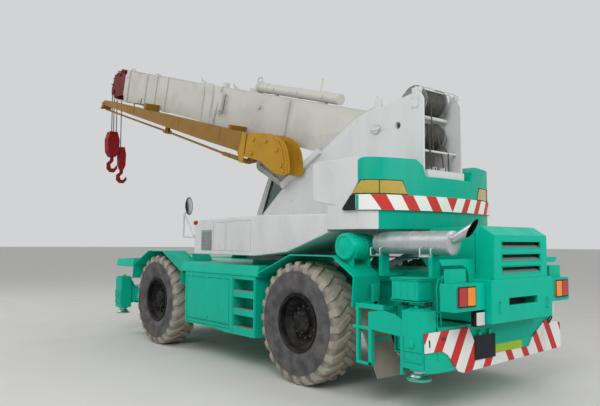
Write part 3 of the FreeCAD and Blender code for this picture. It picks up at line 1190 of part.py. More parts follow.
def hook(name, y, top, wide, tall, thick):
    """A block with its hook, its top at a height under the pin; wide is across the crane."""
    block = slab(name + "Block", "YZ", f"{ROPE_X} - {thick}", f"{ROPE_X} + {thick}", (
        (f"{y} - {wide} * 0.6", top), (f"{y} - {wide}", f"{top} - {tall} * 0.2"),
        (f"{y} - {wide} * 0.9", f"{top} - {tall} * 0.5"), (f"{y} - {wide} * 0.4", f"{top} - {tall} * 0.62"),
        (f"{y} + {wide} * 0.4", f"{top} - {tall} * 0.62"), (f"{y} + {wide} * 0.9", f"{top} - {tall} * 0.5"),
        (f"{y} + {wide}", f"{top} - {tall} * 0.2"), (f"{y} + {wide} * 0.6", top),
    ))
    bow = slab(name + "Bow", "YZ", f"{ROPE_X} - 32", f"{ROPE_X} + 32", (
        (f"{y} - 35", f"{top} - {tall} * 0.6"), (f"{y} + 35", f"{top} - {tall} * 0.6"),
        (f"{y} + 35", f"{top} - {tall} * 0.7"), (f"{y} + 120", f"{top} - {tall} * 0.78"),
        (f"{y} + 120", f"{top} - {tall} * 0.92"), (f"{y} + 40", f"{top} - {tall}"),
        (f"{y} - 60", f"{top} - {tall}"), (f"{y} - 135", f"{top} - {tall} * 0.9"),
        (f"{y} - 125", f"{top} - {tall} * 0.82"), (f"{y} - 70", f"{top} - {tall} * 0.9"),
        (f"{y} + 20", f"{top} - {tall} * 0.91"), (f"{y} + 45", f"{top} - {tall} * 0.82"),
        (f"{y} - 35", f"{top} - {tall} * 0.72"),
    ))
    return [block, bow]


falls = [bar(f"Fall_{level}", ROPE_X, place, (top, "0"), "11") for level, (place, top) in enumerate((
    ("71", "-990"), ("119", "-990"), ("0", "-990"), ("-119", "-1340"),
))]
hooks = hook("Main", "100", "-976", "150", "1000", "110") + hook("Spare", "-150", "-1330", "90", "900", "70")
node("hooks", join("Hooks", *falls, *hooks), x=HEAD_X, z=HEAD_Z)

doc.recompute()
for item in doc.Objects:
    if "Invalid" in item.State or "Error" in item.State:
        raise RuntimeError(f"{item.Name} did not compute: {item.State}")
for item in nodes:
    if item.Shape.isNull() or not item.Shape.isValid() or not item.Shape.Solids:
        raise RuntimeError(f"{item.Label} has no sound solid")
os.makedirs("parts", exist_ok=True)
for item in nodes:
    item.Shape.exportStep(f"parts/{item.Label}.step")
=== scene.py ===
import bmesh
import bpy
import math
from mathutils import Matrix, Vector


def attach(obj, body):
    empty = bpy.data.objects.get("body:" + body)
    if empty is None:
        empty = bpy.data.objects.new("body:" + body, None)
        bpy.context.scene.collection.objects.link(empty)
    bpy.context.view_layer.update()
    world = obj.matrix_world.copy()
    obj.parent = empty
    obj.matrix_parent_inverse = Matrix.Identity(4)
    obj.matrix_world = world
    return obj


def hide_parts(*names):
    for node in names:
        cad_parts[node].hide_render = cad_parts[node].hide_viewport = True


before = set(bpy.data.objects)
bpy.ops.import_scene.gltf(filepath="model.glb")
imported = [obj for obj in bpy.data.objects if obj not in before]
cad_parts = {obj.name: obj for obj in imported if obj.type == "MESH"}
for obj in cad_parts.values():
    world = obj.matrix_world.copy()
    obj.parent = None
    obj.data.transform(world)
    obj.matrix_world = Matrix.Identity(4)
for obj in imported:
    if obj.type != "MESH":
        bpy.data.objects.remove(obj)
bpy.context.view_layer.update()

# Viewpoint, floor and light
# The crane stands on a plain pale floor. The camera is where the photograph was taken from, fitted to the
# carrier's edges; sizes in this file are millimetres from the ground under the middle of the rear axle.
MACHINE = Matrix.Translation((-3.25, 0, 0)) @ Matrix.Scale(0.001, 4)


def linear(code):
    """A colour written as sRGB hex, turned to the linear values that a shader takes."""
    parts = [int(code[i:i + 2], 16) / 255 for i in (1, 3, 5)]
    return [c / 12.92 if c <= 0.04045 else ((c + 0.055) / 1.055) ** 2.4 for c in parts] + [1.0]


def add(tree, kind, inputs=None, **settings):
    """A node with its settings, and its inputs set to values or linked to sockets."""
    node = tree.nodes.new(kind)
    for name, value in settings.items():
        setattr(node, name, value)
    for key, value in (inputs or {}).items():
        if isinstance(value, bpy.types.NodeSocket):
            tree.links.new(value, node.inputs[key])
        else:
            node.inputs[key].default_value = value
    return node


def material(name):
    """An empty node material, with its tree and its output."""
    made = bpy.data.materials.new(name)
    made.use_nodes = True
    made.node_tree.nodes.clear()
    return made, made.node_tree, made.node_tree.nodes.new("ShaderNodeOutputMaterial")


yaw, pitch, roll = (math.radians(angle) for angle in (-39.710, 3.698, 0.249))
ahead = Vector((math.cos(yaw) * math.cos(pitch), math.sin(yaw) * math.cos(pitch), math.sin(pitch)))
right = Vector((math.sin(yaw), -math.cos(yaw), 0))
up = right.cross(ahead)
right, up = right * math.cos(roll) + up * math.sin(roll), up * math.cos(roll) - right * math.sin(roll)
lens = bpy.data.cameras.new("Viewpoint")
lens.sensor_width = 36
lens.lens = 598.56 / 600 * 36
lens.clip_end = 200
viewpoint = bpy.data.objects.new("Viewpoint", lens)
viewpoint.matrix_world = (Matrix.Translation(MACHINE @ Vector((-5617.6, 5903.9, 1708.4)))
                          @ Matrix((right, up, -ahead)).transposed().to_4x4())
bpy.context.collection.objects.link(viewpoint)
bpy.context.scene.camera = viewpoint

# matt, pale and barely mottled
floor_paint, tree, out = material("pale_concrete_floor")
coords = add(tree, "ShaderNodeTexCoord")
mottle = add(tree, "ShaderNodeTexNoise", {"Vector": coords.outputs["Object"], "Scale": 1.4, "Detail": 6})
tone = add(tree, "ShaderNodeValToRGB", {"Fac": mottle.outputs["Fac"]})
tone.color_ramp.elements[0].color, tone.color_ramp.elements[1].color = linear("#CFCECA"), linear("#DAD9D5")
shader = add(tree, "ShaderNodeBsdfPrincipled", {"Base Color": tone.outputs["Color"], "Roughness": 0.85})
tree.links.new(shader.outputs["BSDF"], out.inputs["Surface"])
floor_mesh = bpy.data.meshes.new("Floor")
reach, sides = 170.0, 96
edge = [2 * math.pi * i / sides for i in range(sides)]
floor_mesh.from_pydata([(reach * math.cos(a), reach * math.sin(a), 0) for a in edge], [],
                       [list(range(sides))])
floor_mesh.materials.append(floor_paint)
ground = bpy.data.objects.new("Floor", floor_mesh)
bpy.context.collection.objects.link(ground)

world = bpy.data.worlds.new("Studio")
bpy.context.scene.world = world
world.use_nodes = True
tree = world.node_tree
tree.nodes.clear()
rays = add(tree, "ShaderNodeLightPath")
seen = add(tree, "ShaderNodeMath", {0: rays.outputs["Is Camera Ray"], 1: rays.outputs["Is Transmission Ray"]},
           operation="MAXIMUM")
shown = add(tree, "ShaderNodeMath", {0: seen.outputs[0], 1: rays.outputs["Is Glossy Ray"]},
            operation="MAXIMUM")
room = add(tree, "ShaderNodeBackground", {"Color": linear("#F2F3F4"), "Strength": 0.6})
backdrop = add(tree, "ShaderNodeBackground", {"Color": linear("#DCDDDE"), "Strength": 0.9})
mix = add(tree, "ShaderNodeMixShader", {0: shown.outputs[0], 1: room.outputs[0], 2: backdrop.outputs[0]})
tree.links.new(mix.outputs[0], add(tree, "ShaderNodeOutputWorld").inputs["Surface"])

for name, place, power, size in (
    ("KeyLight", (-9.5, 9.0, 9.0), 640, 6.0),
    ("TailLight", (-13.0, -3.0, 6.5), 300, 5.0),
    ("NoseLight", (9.0, 7.0, 10.0), 420, 7.0),
):
    lamp = bpy.data.lights.new(name, "AREA")
    lamp.energy = power
    lamp.size = size
    glow = bpy.data.objects.new(name, lamp)
    glow.matrix_world = (Matrix.Translation(place)
                         @ (Vector((0, 0, 1.8)) - Vector(place)).to_track_quat("-Z",
                                                                               "Y").to_matrix().to_4x4())
    bpy.context.collection.objects.link(glow)
bpy.context.scene.view_settings.view_transform = "Standard"


# Tyres
# Four rough-terrain tyres, 1470 mm high, of worn natural rubber that has greyed and holds dust in its tread.
# Each is a moulded casing, and slanted lugs of two rows stand on it, every other one from the other shoulder.
def aged_rubber(name, wall, dust):
    """Moulded rubber: grey on the walls, with pale dust where the piece's own attribute says so."""
    made, tree, out = material(name)
    coords = add(tree, "ShaderNodeTexCoord")
    held = add(tree, "ShaderNodeAttribute", attribute_name="dust")
    blotch = add(tree, "ShaderNodeTexNoise", {"Vector": coords.outputs["Object"], "Scale": 7.0, "Detail": 8})
    amount = add(tree, "ShaderNodeMath", {0: held.outputs["Fac"], 1: blotch.outputs["Fac"]},
                 operation="MULTIPLY")
    doubled = add(tree, "ShaderNodeMath", {0: amount.outputs[0], 1: 1.9}, operation="MULTIPLY",
                  use_clamp=True)
    film = add(tree, "ShaderNodeMapRange", {"Value": blotch.outputs["Fac"], "From Min": 0.35, "From Max": 0.8,
                                            "To Min": 0.0, "To Max": 0.35})
    both = add(tree, "ShaderNodeMath", {0: doubled.outputs[0], 1: film.outputs[0]}, operation="MAXIMUM")
    tint = add(tree, "ShaderNodeMix", {0: both.outputs[0], 6: linear(wall), 7: linear(dust)},
               data_type="RGBA")
    # grain of 4 mm, coarser than real rubber's so that it shows from this far
    grain = add(tree, "ShaderNodeTexNoise", {"Vector": coords.outputs["Object"], "Scale": 250.0, "Detail": 3})
    bump = add(tree, "ShaderNodeBump", {"Height": grain.outputs["Fac"], "Strength": 0.3, "Distance": 0.002})
    shader = add(tree, "ShaderNodeBsdfPrincipled", {
        "Base Color": tint.outputs[2], "Roughness": 0.82, "Normal": bump.outputs[0],
        "Specular IOR Level": 0.3})
    tree.links.new(shader.outputs[0], out.inputs["Surface"])
    return made


def drawn(name, bm, paint, frame_at=MACHINE, sharp=35, ease=0.0, segments=2):
    """A mesh drawn in millimetres becomes an object in metres, with its edges eased if asked."""
    bmesh.ops.remove_doubles(bm, verts=bm.verts, dist=0.01)
    bmesh.ops.recalc_face_normals(bm, faces=bm.faces)
    bm.transform(frame_at)
    mesh = bpy.data.meshes.new(name)
    bm.to_mesh(mesh)
    bm.free()
    mesh.shade_smooth()
    mesh.set_sharp_from_angle(angle=math.radians(sharp))
    made = bpy.data.objects.new(name, mesh)
    bpy.context.collection.objects.link(made)
    for one in (paint if isinstance(paint, list) else [paint]):
        mesh.materials.append(one)
    if ease:
        bevel = made.modifiers.new("Ease", "BEVEL")
        bevel.width = ease / 1000
        bevel.segments = segments
        bevel.limit_method = "ANGLE"
        bevel.angle_limit = math.radians(sharp)
        bevel.harden_normals = True
    return made


def placed(made, body, stands_for=None):
    """An object rides on a body and may stand for a solid of the source."""
    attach(made, body)
    if stands_for:
        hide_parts(stands_for)
    return made


def finished(name, bm, paint, body, slot, stands_for=None, **drawing):
    """A mesh drawn in millimetres becomes a piece of the crane."""
    return placed(drawn(name, bm, paint, **drawing), body, stands_for)


def lathe(bm, profile, centre, axis="Y", steps=72):
    """Turns a profile of (along, radius) about an axis through a centre; the ends close where radius is 0."""
    hoops = []
    for along, radius in profile:
        count = 1 if radius == 0 else steps
        hoop = []
        for i in range(count):
            turn = 2 * math.pi * i / steps
            a, b = radius * math.cos(turn), radius * math.sin(turn)
            offset = {"X": (along, a, b), "Y": (a, along, b), "Z": (a, b, along)}[axis]
            hoop.append(bm.verts.new(Vector(centre) + Vector(offset)))
        hoops.append(hoop)
    for first, second in zip(hoops, hoops[1:]):
        for i in range(steps):
            j = (i + 1) % steps
            corners = [first[i % len(first)], first[j % len(first)], second[j % len(second)],
                       second[i % len(second)]]
            unique = list(dict.fromkeys(corners))
            if len(unique) > 2:
                bm.faces.new(unique)
    return hoops


def grown(made, tree, **values):
    """The object's mesh as a Geometry Nodes tree leaves it, with the modifier gone again."""
    modifier = made.modifiers.new("Grow", "NODES")
    modifier.node_group = tree
    for item in tree.interface.items_tree:
        if item.item_type == "SOCKET" and item.in_out == "INPUT" and item.name in values:
            modifier[item.identifier] = values[item.name]
    bpy.context.view_layer.update()
    mesh = bpy.data.meshes.new_from_object(made.evaluated_get(bpy.context.evaluated_depsgraph_get()))
    made.modifiers.remove(modifier)
    made.data = mesh
    return made


# Copies of one drawn form set round an axis, as lugs, wheel nuts and cover bolts are
AROUND = bpy.data.node_groups.new("SetRound", "GeometryNodeTree")
for name, kind, side in (("Form", "NodeSocketGeometry", "INPUT"), ("Count", "NodeSocketInt", "INPUT"),
                         ("Centre", "NodeSocketVector", "INPUT"), ("Axis", "NodeSocketVector", "INPUT"),
                         ("Finish", "NodeSocketMaterial", "INPUT"), ("Set", "NodeSocketGeometry", "OUTPUT")):
    AROUND.interface.new_socket(name=name, in_out=side, socket_type=kind)
given = add(AROUND, "NodeGroupInput").outputs
home = add(AROUND, "ShaderNodeVectorMath", {0: given["Centre"], "Scale": -1.0}, operation="SCALE")
form = add(AROUND, "GeometryNodeTransform", {"Geometry": given["Form"], "Translation": home.outputs[0]})
points = add(AROUND, "GeometryNodeMeshLine", {"Count": given["Count"], "Offset": (0.0, 0.0, 0.0)})
index = add(AROUND, "GeometryNodeInputIndex")
share = add(AROUND, "ShaderNodeMath", {0: index.outputs[0], 1: given["Count"]}, operation="DIVIDE")
angle = add(AROUND, "ShaderNodeMath", {0: share.outputs[0], 1: 2 * math.pi}, operation="MULTIPLY")
turned = add(AROUND, "FunctionNodeAxisAngleToRotation", {"Axis": given["Axis"], "Angle": angle.outputs[0]})
copies = add(AROUND, "GeometryNodeInstanceOnPoints", {
    "Points": points.outputs[0], "Instance": form.outputs[0], "Rotation": turned.outputs[0]})
whole = add(AROUND, "GeometryNodeRealizeInstances", {"Geometry": copies.outputs[0]})
back = add(AROUND, "GeometryNodeTransform", {"Geometry": whole.outputs[0], "Translation": given["Centre"]})
coated = add(AROUND, "GeometryNodeSetMaterial", {"Geometry": back.outputs[0], "Material": given["Finish"]})
add(AROUND, "NodeGroupOutput", {0: coated.outputs[0]})

# height of the axles, which is the tyre's radius, half the track, and the wheelbase
AXLE_HIGH, TRACK_HALF, WHEELBASE = 735, 1095, 3700
# the walls bulge to 217 mm from the tyre's middle plane
CASING = ((-150, 331), (-178, 352), (-186, 372), (-199, 392), (-206, 420), (-211, 440), (-216, 480),
          (-217, 540), (-215, 590), (-213, 628), (-205, 655), (-192, 678), (-168, 694), (-130, 700),
          (-60, 703), (0, 704), (60, 703), (130, 700), (168, 694), (192, 678), (205, 655), (213, 628),
          (215, 590), (217, 540), (216, 480), (211, 440), (206, 420), (199, 392), (186, 372), (178, 352),
          (150, 331))
# a lug from the shoulder to the middle: place across the tread, foot, top, slant round the tyre, width
LUG = ((214, 622, 640, -1.2, 66), (206, 650, 690, -0.9, 76), (184, 676, 725, 0.0, 86),
       (150, 690, 735, 1.2, 90), (90, 694, 735, 4.4, 78), (30, 696, 735, 7.6, 72), (-14, 696, 733, 9.6, 64))
# lugs of each row round the tyre
LUGS_A_ROW = 24
# dull dark grey rubber, paler where dust lies
tyre_rubber = aged_rubber("worn_tyre_rubber", "#46464B", "#A39C8E")
WHEELS = [(end, side, axle, sign) for end, axle in (("rear", 0), ("front", WHEELBASE))
          for side, sign in (("left", 1), ("right", -1))]
for end, side, axle, sign in WHEELS:
    wheel = f"{end}_{side}"
    centre = Vector((axle, sign * TRACK_HALF, AXLE_HIGH))
    bm = bmesh.new()
    dust = bm.verts.layers.float.new("dust")
    for (along, radius), hoop in zip(CASING, lathe(bm, CASING, centre, steps=120)):
        for corner in hoop:
            corner[dust] = min(1.0, max(0.0, (radius - 600) / 90))
    for ring in (455, 612):
        for out in (1, -1):
            edge = 217 if ring == 612 else 214
            lathe(bm, ((out * (edge - 9), ring - 6), (out * (edge + 0.5), ring - 3),
                       (out * (edge + 0.5), ring + 3), (out * (edge - 9), ring + 6)), centre, steps=120)
    finished(f"tyre_casing_{wheel}", bm, tyre_rubber, "wheel_" + wheel, "tyre", "tyre_" + wheel, sharp=50)
    bm = bmesh.new()
    dust = bm.verts.layers.float.new("dust")
    for row in (1, -1):
        sections = []
        for across, foot, top, slant, width in LUG:
            section = []
            for radius, half, held in ((foot, width / 2 + 7, 0.75), (top, width / 2 - 3, 1.0),
                                       (top, -width / 2 + 3, 1.0), (foot, -width / 2 - 7, 0.75)):
                angle = math.radians(slant + (0 if row > 0 else 180 / LUGS_A_ROW)) + half / radius
                corner = bm.verts.new(centre + Vector((radius * math.sin(angle), row * across,
                                                       radius * math.cos(angle))))
                corner[dust] = held
                section.append(corner)
            sections.append(section)
        for first, second in zip(sections, sections[1:]):
            for i in range(4):
                bm.faces.new((first[i], first[(i + 1) % 4], second[(i + 1) % 4], second[i]))
        bm.faces.new(sections[0])
        bm.faces.new(sections[-1])
    lugs = grown(drawn(f"tyre_lugs_{wheel}", bm, tyre_rubber, sharp=40), AROUND, Count=LUGS_A_ROW,
                 Centre=MACHINE @ centre, Axis=(0.0, 1.0, 0.0), Finish=tyre_rubber)
    placed(lugs, "wheel_" + wheel)


# Rims, hubs and wheel nuts
# Pressed steel rims under worn black paint carry a drive hub that stands in the dish, held by a ring of nuts.
# Rim and hub come from the source; nuts, cover bolts and the split ring's seam are added.
def painted(name, coat, grime, rust, wear=0.5, gloss=0.34, streaks=1.0, low=0.9, scale=1.0,
            metal=0.0):
    """Paint or bare metal: patchy colour, dust that gathers low down, rust where the coat has chipped."""
    made, tree, out = material(name)
    coords = add(tree, "ShaderNodeTexCoord")
    stretched = add(tree, "ShaderNodeMapping", {"Vector": coords.outputs["Object"],
                                                "Scale": (1.0, 1.0, 1 / streaks)})
    patches = add(tree, "ShaderNodeTexNoise", {"Vector": stretched.outputs[0], "Scale": 2.6 * scale,
                                               "Detail": 9, "Roughness": 0.62})
    parts = add(tree, "ShaderNodeSeparateXYZ", {0: coords.outputs["Object"]})
    rise = add(tree, "ShaderNodeMapRange", {"Value": parts.outputs["Z"], "From Min": low - 0.8,
                                            "From Max": low + 0.5, "To Min": 0.26, "To Max": 0.0})
    held = add(tree, "ShaderNodeMath", {0: patches.outputs["Fac"], 1: rise.outputs[0]}, operation="ADD")
    film = add(tree, "ShaderNodeMapRange", {"Value": held.outputs[0], "From Min": 0.5, "From Max": 0.85,
                                            "To Min": 0.0, "To Max": 0.75 * wear})
    fade = add(tree, "ShaderNodeHueSaturation", {"Color": linear(coat), "Fac": patches.outputs["Fac"],
                                                 "Value": 0.88, "Saturation": 1.02})
    soiled = add(tree, "ShaderNodeMix", {0: film.outputs[0], 6: fade.outputs[0], 7: linear(grime)},
                 data_type="RGBA")
    chips = add(tree, "ShaderNodeTexNoise", {"Vector": coords.outputs["Object"], "Scale": 34.0, "Detail": 5,
                                             "Roughness": 0.7})
    bare = add(tree, "ShaderNodeMath", {0: chips.outputs["Fac"], 1: patches.outputs["Fac"]},
               operation="MULTIPLY")
    spots = add(tree, "ShaderNodeMapRange", {"Value": bare.outputs[0], "From Min": 0.465 - 0.07 * wear,
                                             "From Max": 0.50 - 0.07 * wear})
    chipped = add(tree, "ShaderNodeMix", {0: spots.outputs[0], 6: soiled.outputs[2], 7: linear(rust)},
                  data_type="RGBA")
    rough = add(tree, "ShaderNodeMapRange", {"Value": held.outputs[0], "From Min": 0.4, "From Max": 0.85,
                                             "To Min": gloss, "To Max": gloss + 0.35})
    # orange peel of 6 mm, coarser than a sprayed coat's so that it shows
    peel = add(tree, "ShaderNodeTexNoise", {"Vector": coords.outputs["Object"], "Scale": 160.0, "Detail": 2})
    relief = add(tree, "ShaderNodeMath", {0: peel.outputs["Fac"], 1: spots.outputs[0]}, operation="SUBTRACT")
    bump = add(tree, "ShaderNodeBump", {"Height": relief.outputs[0], "Strength": 0.16, "Distance": 0.0012})
    shader = add(tree, "ShaderNodeBsdfPrincipled", {
        "Base Color": chipped.outputs[2], "Roughness": rough.outputs[0], "Normal": bump.outputs[0],
        "Metallic": metal, "Specular IOR Level": 0.1, "Coat Weight": 0.03, "Coat Roughness": 0.15})
    tree.links.new(shader.outputs[0], out.inputs["Surface"])
    return made


def eased(node, width, paint, body, slot, sharp=30, segments=2, cut=False):
    """A solid of the source with its edges rounded and its faces made flat, which stands for it."""
    bm = bmesh.new()
    bm.from_mesh(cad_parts[node].data)
    bmesh.ops.remove_doubles(bm, verts=bm.verts, dist=1e-5)
    bmesh.ops.dissolve_limit(bm, angle_limit=math.radians(0.6), verts=bm.verts, edges=bm.edges)
    if cut:
        bmesh.ops.triangulate(bm, faces=[face for face in bm.faces if len(face.verts) > 4])
    bm.transform(MACHINE.inverted())
    return finished(node + "_shaped", bm, paint, body, slot, node, sharp=sharp, ease=width, segments=segments)


def coat(node, paint):
    """A solid of the source keeps its shape and gets this finish."""
    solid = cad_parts[node]
    for one in solid.material_slots:
        one.material = paint
    solid.data.shade_smooth()
    solid.data.set_sharp_from_angle(angle=math.radians(30))


def hexagon(bm, centre, across, high, axis, out):
    """A nut or bolt head: six flats that stand out from a face along an axis, with a chamfered crown."""
    profile = ((0, 0), (0, across), (high * 0.8, across), (high, across * 0.82), (high, 0))
    lathe(bm, [(out * along, radius) for along, radius in profile], centre, axis, steps=6)


def disc(bm, centre, axis, low, high, radius, steps=24):
    """A plain boss, cap or screw head from low to high along an axis."""
    lathe(bm, ((low, 0), (low, radius), (high, radius), (high, 0)), centre, axis, steps)


def band(bm, centre, axis, low, high, inner, outer, steps=72):
    """A strap or collar about a round piece, from low to high along an axis."""
    lathe(bm, ((low, inner), (low, outer), (high, outer), (high, inner)), centre, axis, steps)


# satin black with brown dust and small chips
black_enamel = painted("black_wheel_enamel", "#17181B", "#5E574E", "#4A342A", wear=0.75, gloss=0.42, low=0.5,
                       scale=3)
# dark dull zinc, rusty in spots
zinc_nut = painted("zinc_plated_nut", "#4B4B4A", "#5F574C", "#6B4630", wear=0.9, gloss=0.45, low=0.5, scale=6)
for end, side, axle, sign in WHEELS:
    wheel = f"{end}_{side}"
    centre = Vector((axle, sign * TRACK_HALF, AXLE_HIGH))
    eased("rim_" + wheel, 4, black_enamel, "wheel_" + wheel, "rim_paint", sharp=25)
    for name, ring, count, across, high, along, turn in (
        ("wheel_nuts", 190, 12, 19, 24, 46.2, 0.1), ("hub_bolts", 122, 8, 12, 10, 126, 0.3),
    ):
        bm = bmesh.new()
        hexagon(bm, centre + Vector((ring * math.sin(turn), sign * along, ring * math.cos(turn))), across,
                high, "Y", sign)
        nuts = grown(drawn(f"{name}_{wheel}", bm, zinc_nut, sharp=25), AROUND, Count=count,
                     Centre=MACHINE @ centre, Axis=(0.0, 1.0, 0.0), Finish=zinc_nut)
        placed(nuts, "wheel_" + wheel)
    bm = bmesh.new()
    for profile in (((60, 318), (60, 300), (72, 297), (78, 303), (78, 318)),
                    ((188, 331), (191.5, 336), (196, 344), (196, 352), (190, 354), (187, 350))):
        lathe(bm, [(sign * along, radius) for along, radius in profile], centre, steps=96)
    finished(f"rim_rings_{wheel}", bm, black_enamel, "wheel_" + wheel, "rim_paint")


# Axles, knuckles and springs
# Cast housings, forged steering knuckles and leaf packs, all under dark grey paint with oil and dust on it.
# They come from the source; the leaves' clips and the cover bolts of each differential are added.
def pipe(bm, points, radius, sides=12, closed=True):
    """A round bar or tube that follows points, with its corners mitred."""
    points = [Vector(p) for p in points]
    hoops = []
    side = None
    for i, here in enumerate(points):
        way_in = (here - points[i - 1]).normalized() if i else (points[1] - here).normalized()
        way_out = (points[i + 1] - here).normalized() if i + 1 < len(points) else way_in
        along = (way_in + way_out).normalized()
        if side is None:
            side = along.orthogonal().normalized()
        side = (side - along * side.dot(along)).normalized()
        other = along.cross(side)
        stretch = 1 / max(0.35, along.dot(way_in))
        bend = (way_out - way_in)
        hoop = []
        for k in range(sides):
            turn = 2 * math.pi * k / sides
            off = side * math.cos(turn) + other * math.sin(turn)
            if bend.length > 0.01:
                off += bend.normalized() * off.dot(bend.normalized()) * (stretch - 1)
            hoop.append(bm.verts.new(here + off * radius))
        hoops.append(hoop)
    for first, second in zip(hoops, hoops[1:]):
        for k in range(sides):
            bm.faces.new((first[k], first[(k + 1) % sides], second[(k + 1) % sides], second[k]))
    if closed:
        bm.faces.new(hoops[0])
        bm.faces.new(hoops[-1])


def slab(bm, outline, low, high, plane="XZ"):
    """A plate with this outline in a plane, from low to high across it."""
    turn = {"XZ": lambda a, b, c: (a, c, b), "YZ": lambda a, b, c: (c, a, b), "XY": lambda a, b,
            c: (a, b, c)}[plane]
    rings = [[bm.verts.new(turn(a, b, c)) for a, b in outline] for c in (low, high)]
    for i in range(len(outline)):
        j = (i + 1) % len(outline)
        bm.faces.new((rings[0][i], rings[0][j], rings[1][j], rings[1][i]))
    for ring in rings:
        bm.faces.new(ring)


def block(bm, x, y, z):
    """A box between pairs of limits."""
    slab(bm, ((x[0], z[0]), (x[1], z[0]), (x[1], z[1]), (x[0], z[1])), y[0], y[1])


# almost black, matt and dusty
cast_paint = painted("oily_cast_iron", "#23282A", "#5C544A", "#4E3A2E", wear=0.9, gloss=0.5, low=0.9,
                     scale=2.5)
coat("axles", cast_paint)
for end, side, axle, sign in WHEELS:
    coat(f"knuckle_{end}_{side}", cast_paint)
for end, axle in (("rear", 0), ("front", WHEELBASE)):
    bm = bmesh.new()
    for side in (1, -1):
        for near, far in ((-62, -50), (50, 62)):
            block(bm, (axle + near, axle + far), (side * 340 - 52, side * 340 + 52), (822, 902))
    finished(f"axle_fittings_{end}", bm, cast_paint, "carrier", "cast_steel", ease=2)
    bm = bmesh.new()
    hub = Vector((axle, 0, AXLE_HIGH))
    hexagon(bm, hub + Vector((224, 0, 0)), 14, 12, "X", 1)
    bolts = grown(drawn(f"differential_bolts_{end}", bm, cast_paint), AROUND, Count=14, Centre=MACHINE @ hub,
                  Axis=(0.0, 1.0, 0.0), Finish=cast_paint)
    placed(bolts, "carrier")


# Frame, outrigger housings, beams and jacks
# Welded box sections in the carrier's green enamel; each beam slides in its housing and ends in a jack's
# casing, whose chromed rod stands on a round foot. The solids are the source's; feet, caps, collars, gussets,
# guard bars and hose couplings are added.

# Copies of one drawn form set in a row, as slats, louvres and rope turns are
ALONG = bpy.data.node_groups.new("SetInRow", "GeometryNodeTree")
for name, kind, side in (("Form", "NodeSocketGeometry", "INPUT"), ("Count", "NodeSocketInt", "INPUT"),
                         ("Step", "NodeSocketVector", "INPUT"), ("Finish", "NodeSocketMaterial", "INPUT"),
                         ("Set", "NodeSocketGeometry", "OUTPUT")):
    ALONG.interface.new_socket(name=name, in_out=side, socket_type=kind)
given = add(ALONG, "NodeGroupInput").outputs
points = add(ALONG, "GeometryNodeMeshLine", {"Count": given["Count"], "Offset": given["Step"]})
copies = add(ALONG, "GeometryNodeInstanceOnPoints", {"Points": points.outputs[0], "Instance": given["Form"]})
whole = add(ALONG, "GeometryNodeRealizeInstances", {"Geometry": copies.outputs[0]})
coated = add(ALONG, "GeometryNodeSetMaterial", {"Geometry": whole.outputs[0], "Material": given["Finish"]})
add(ALONG, "NodeGroupOutput", {0: coated.outputs[0]})


def joined(name, pieces, body):
    """Several drawn objects of one finish on one body made one piece."""
    bm = bmesh.new()
    for one in pieces:
        bm.from_mesh(one.data)
    mesh = bpy.data.meshes.new(name)
    bm.to_mesh(mesh)
    bm.free()
    mesh.materials.append(pieces[0].data.materials[0])
    for one in pieces:
        bpy.data.objects.remove(one)
    made = bpy.data.objects.new(name, mesh)
    bpy.context.collection.objects.link(made)
    return placed(made, body)


def flank(side, near, far):
    """Limits across the crane, given for the left side, on this side of it."""
    return sorted((side * near, side * far))


# clear blue-green with a soft gloss and thin grime in upright streaks
green_enamel = painted("green_carrier_enamel", "#02BEA0", "#3F8A76", "#2E4438", wear=0.3, gloss=0.27,
                       streaks=2.2)
# a mirror with a thin haze of oil
chrome_rod = painted("hard_chrome_rod", "#C9CBCD", "#8A8880", "#6C6257", wear=0.35, gloss=0.12, metal=1.0)
eased("chassis", 3, green_enamel, "carrier", "carrier_green", cut=True)
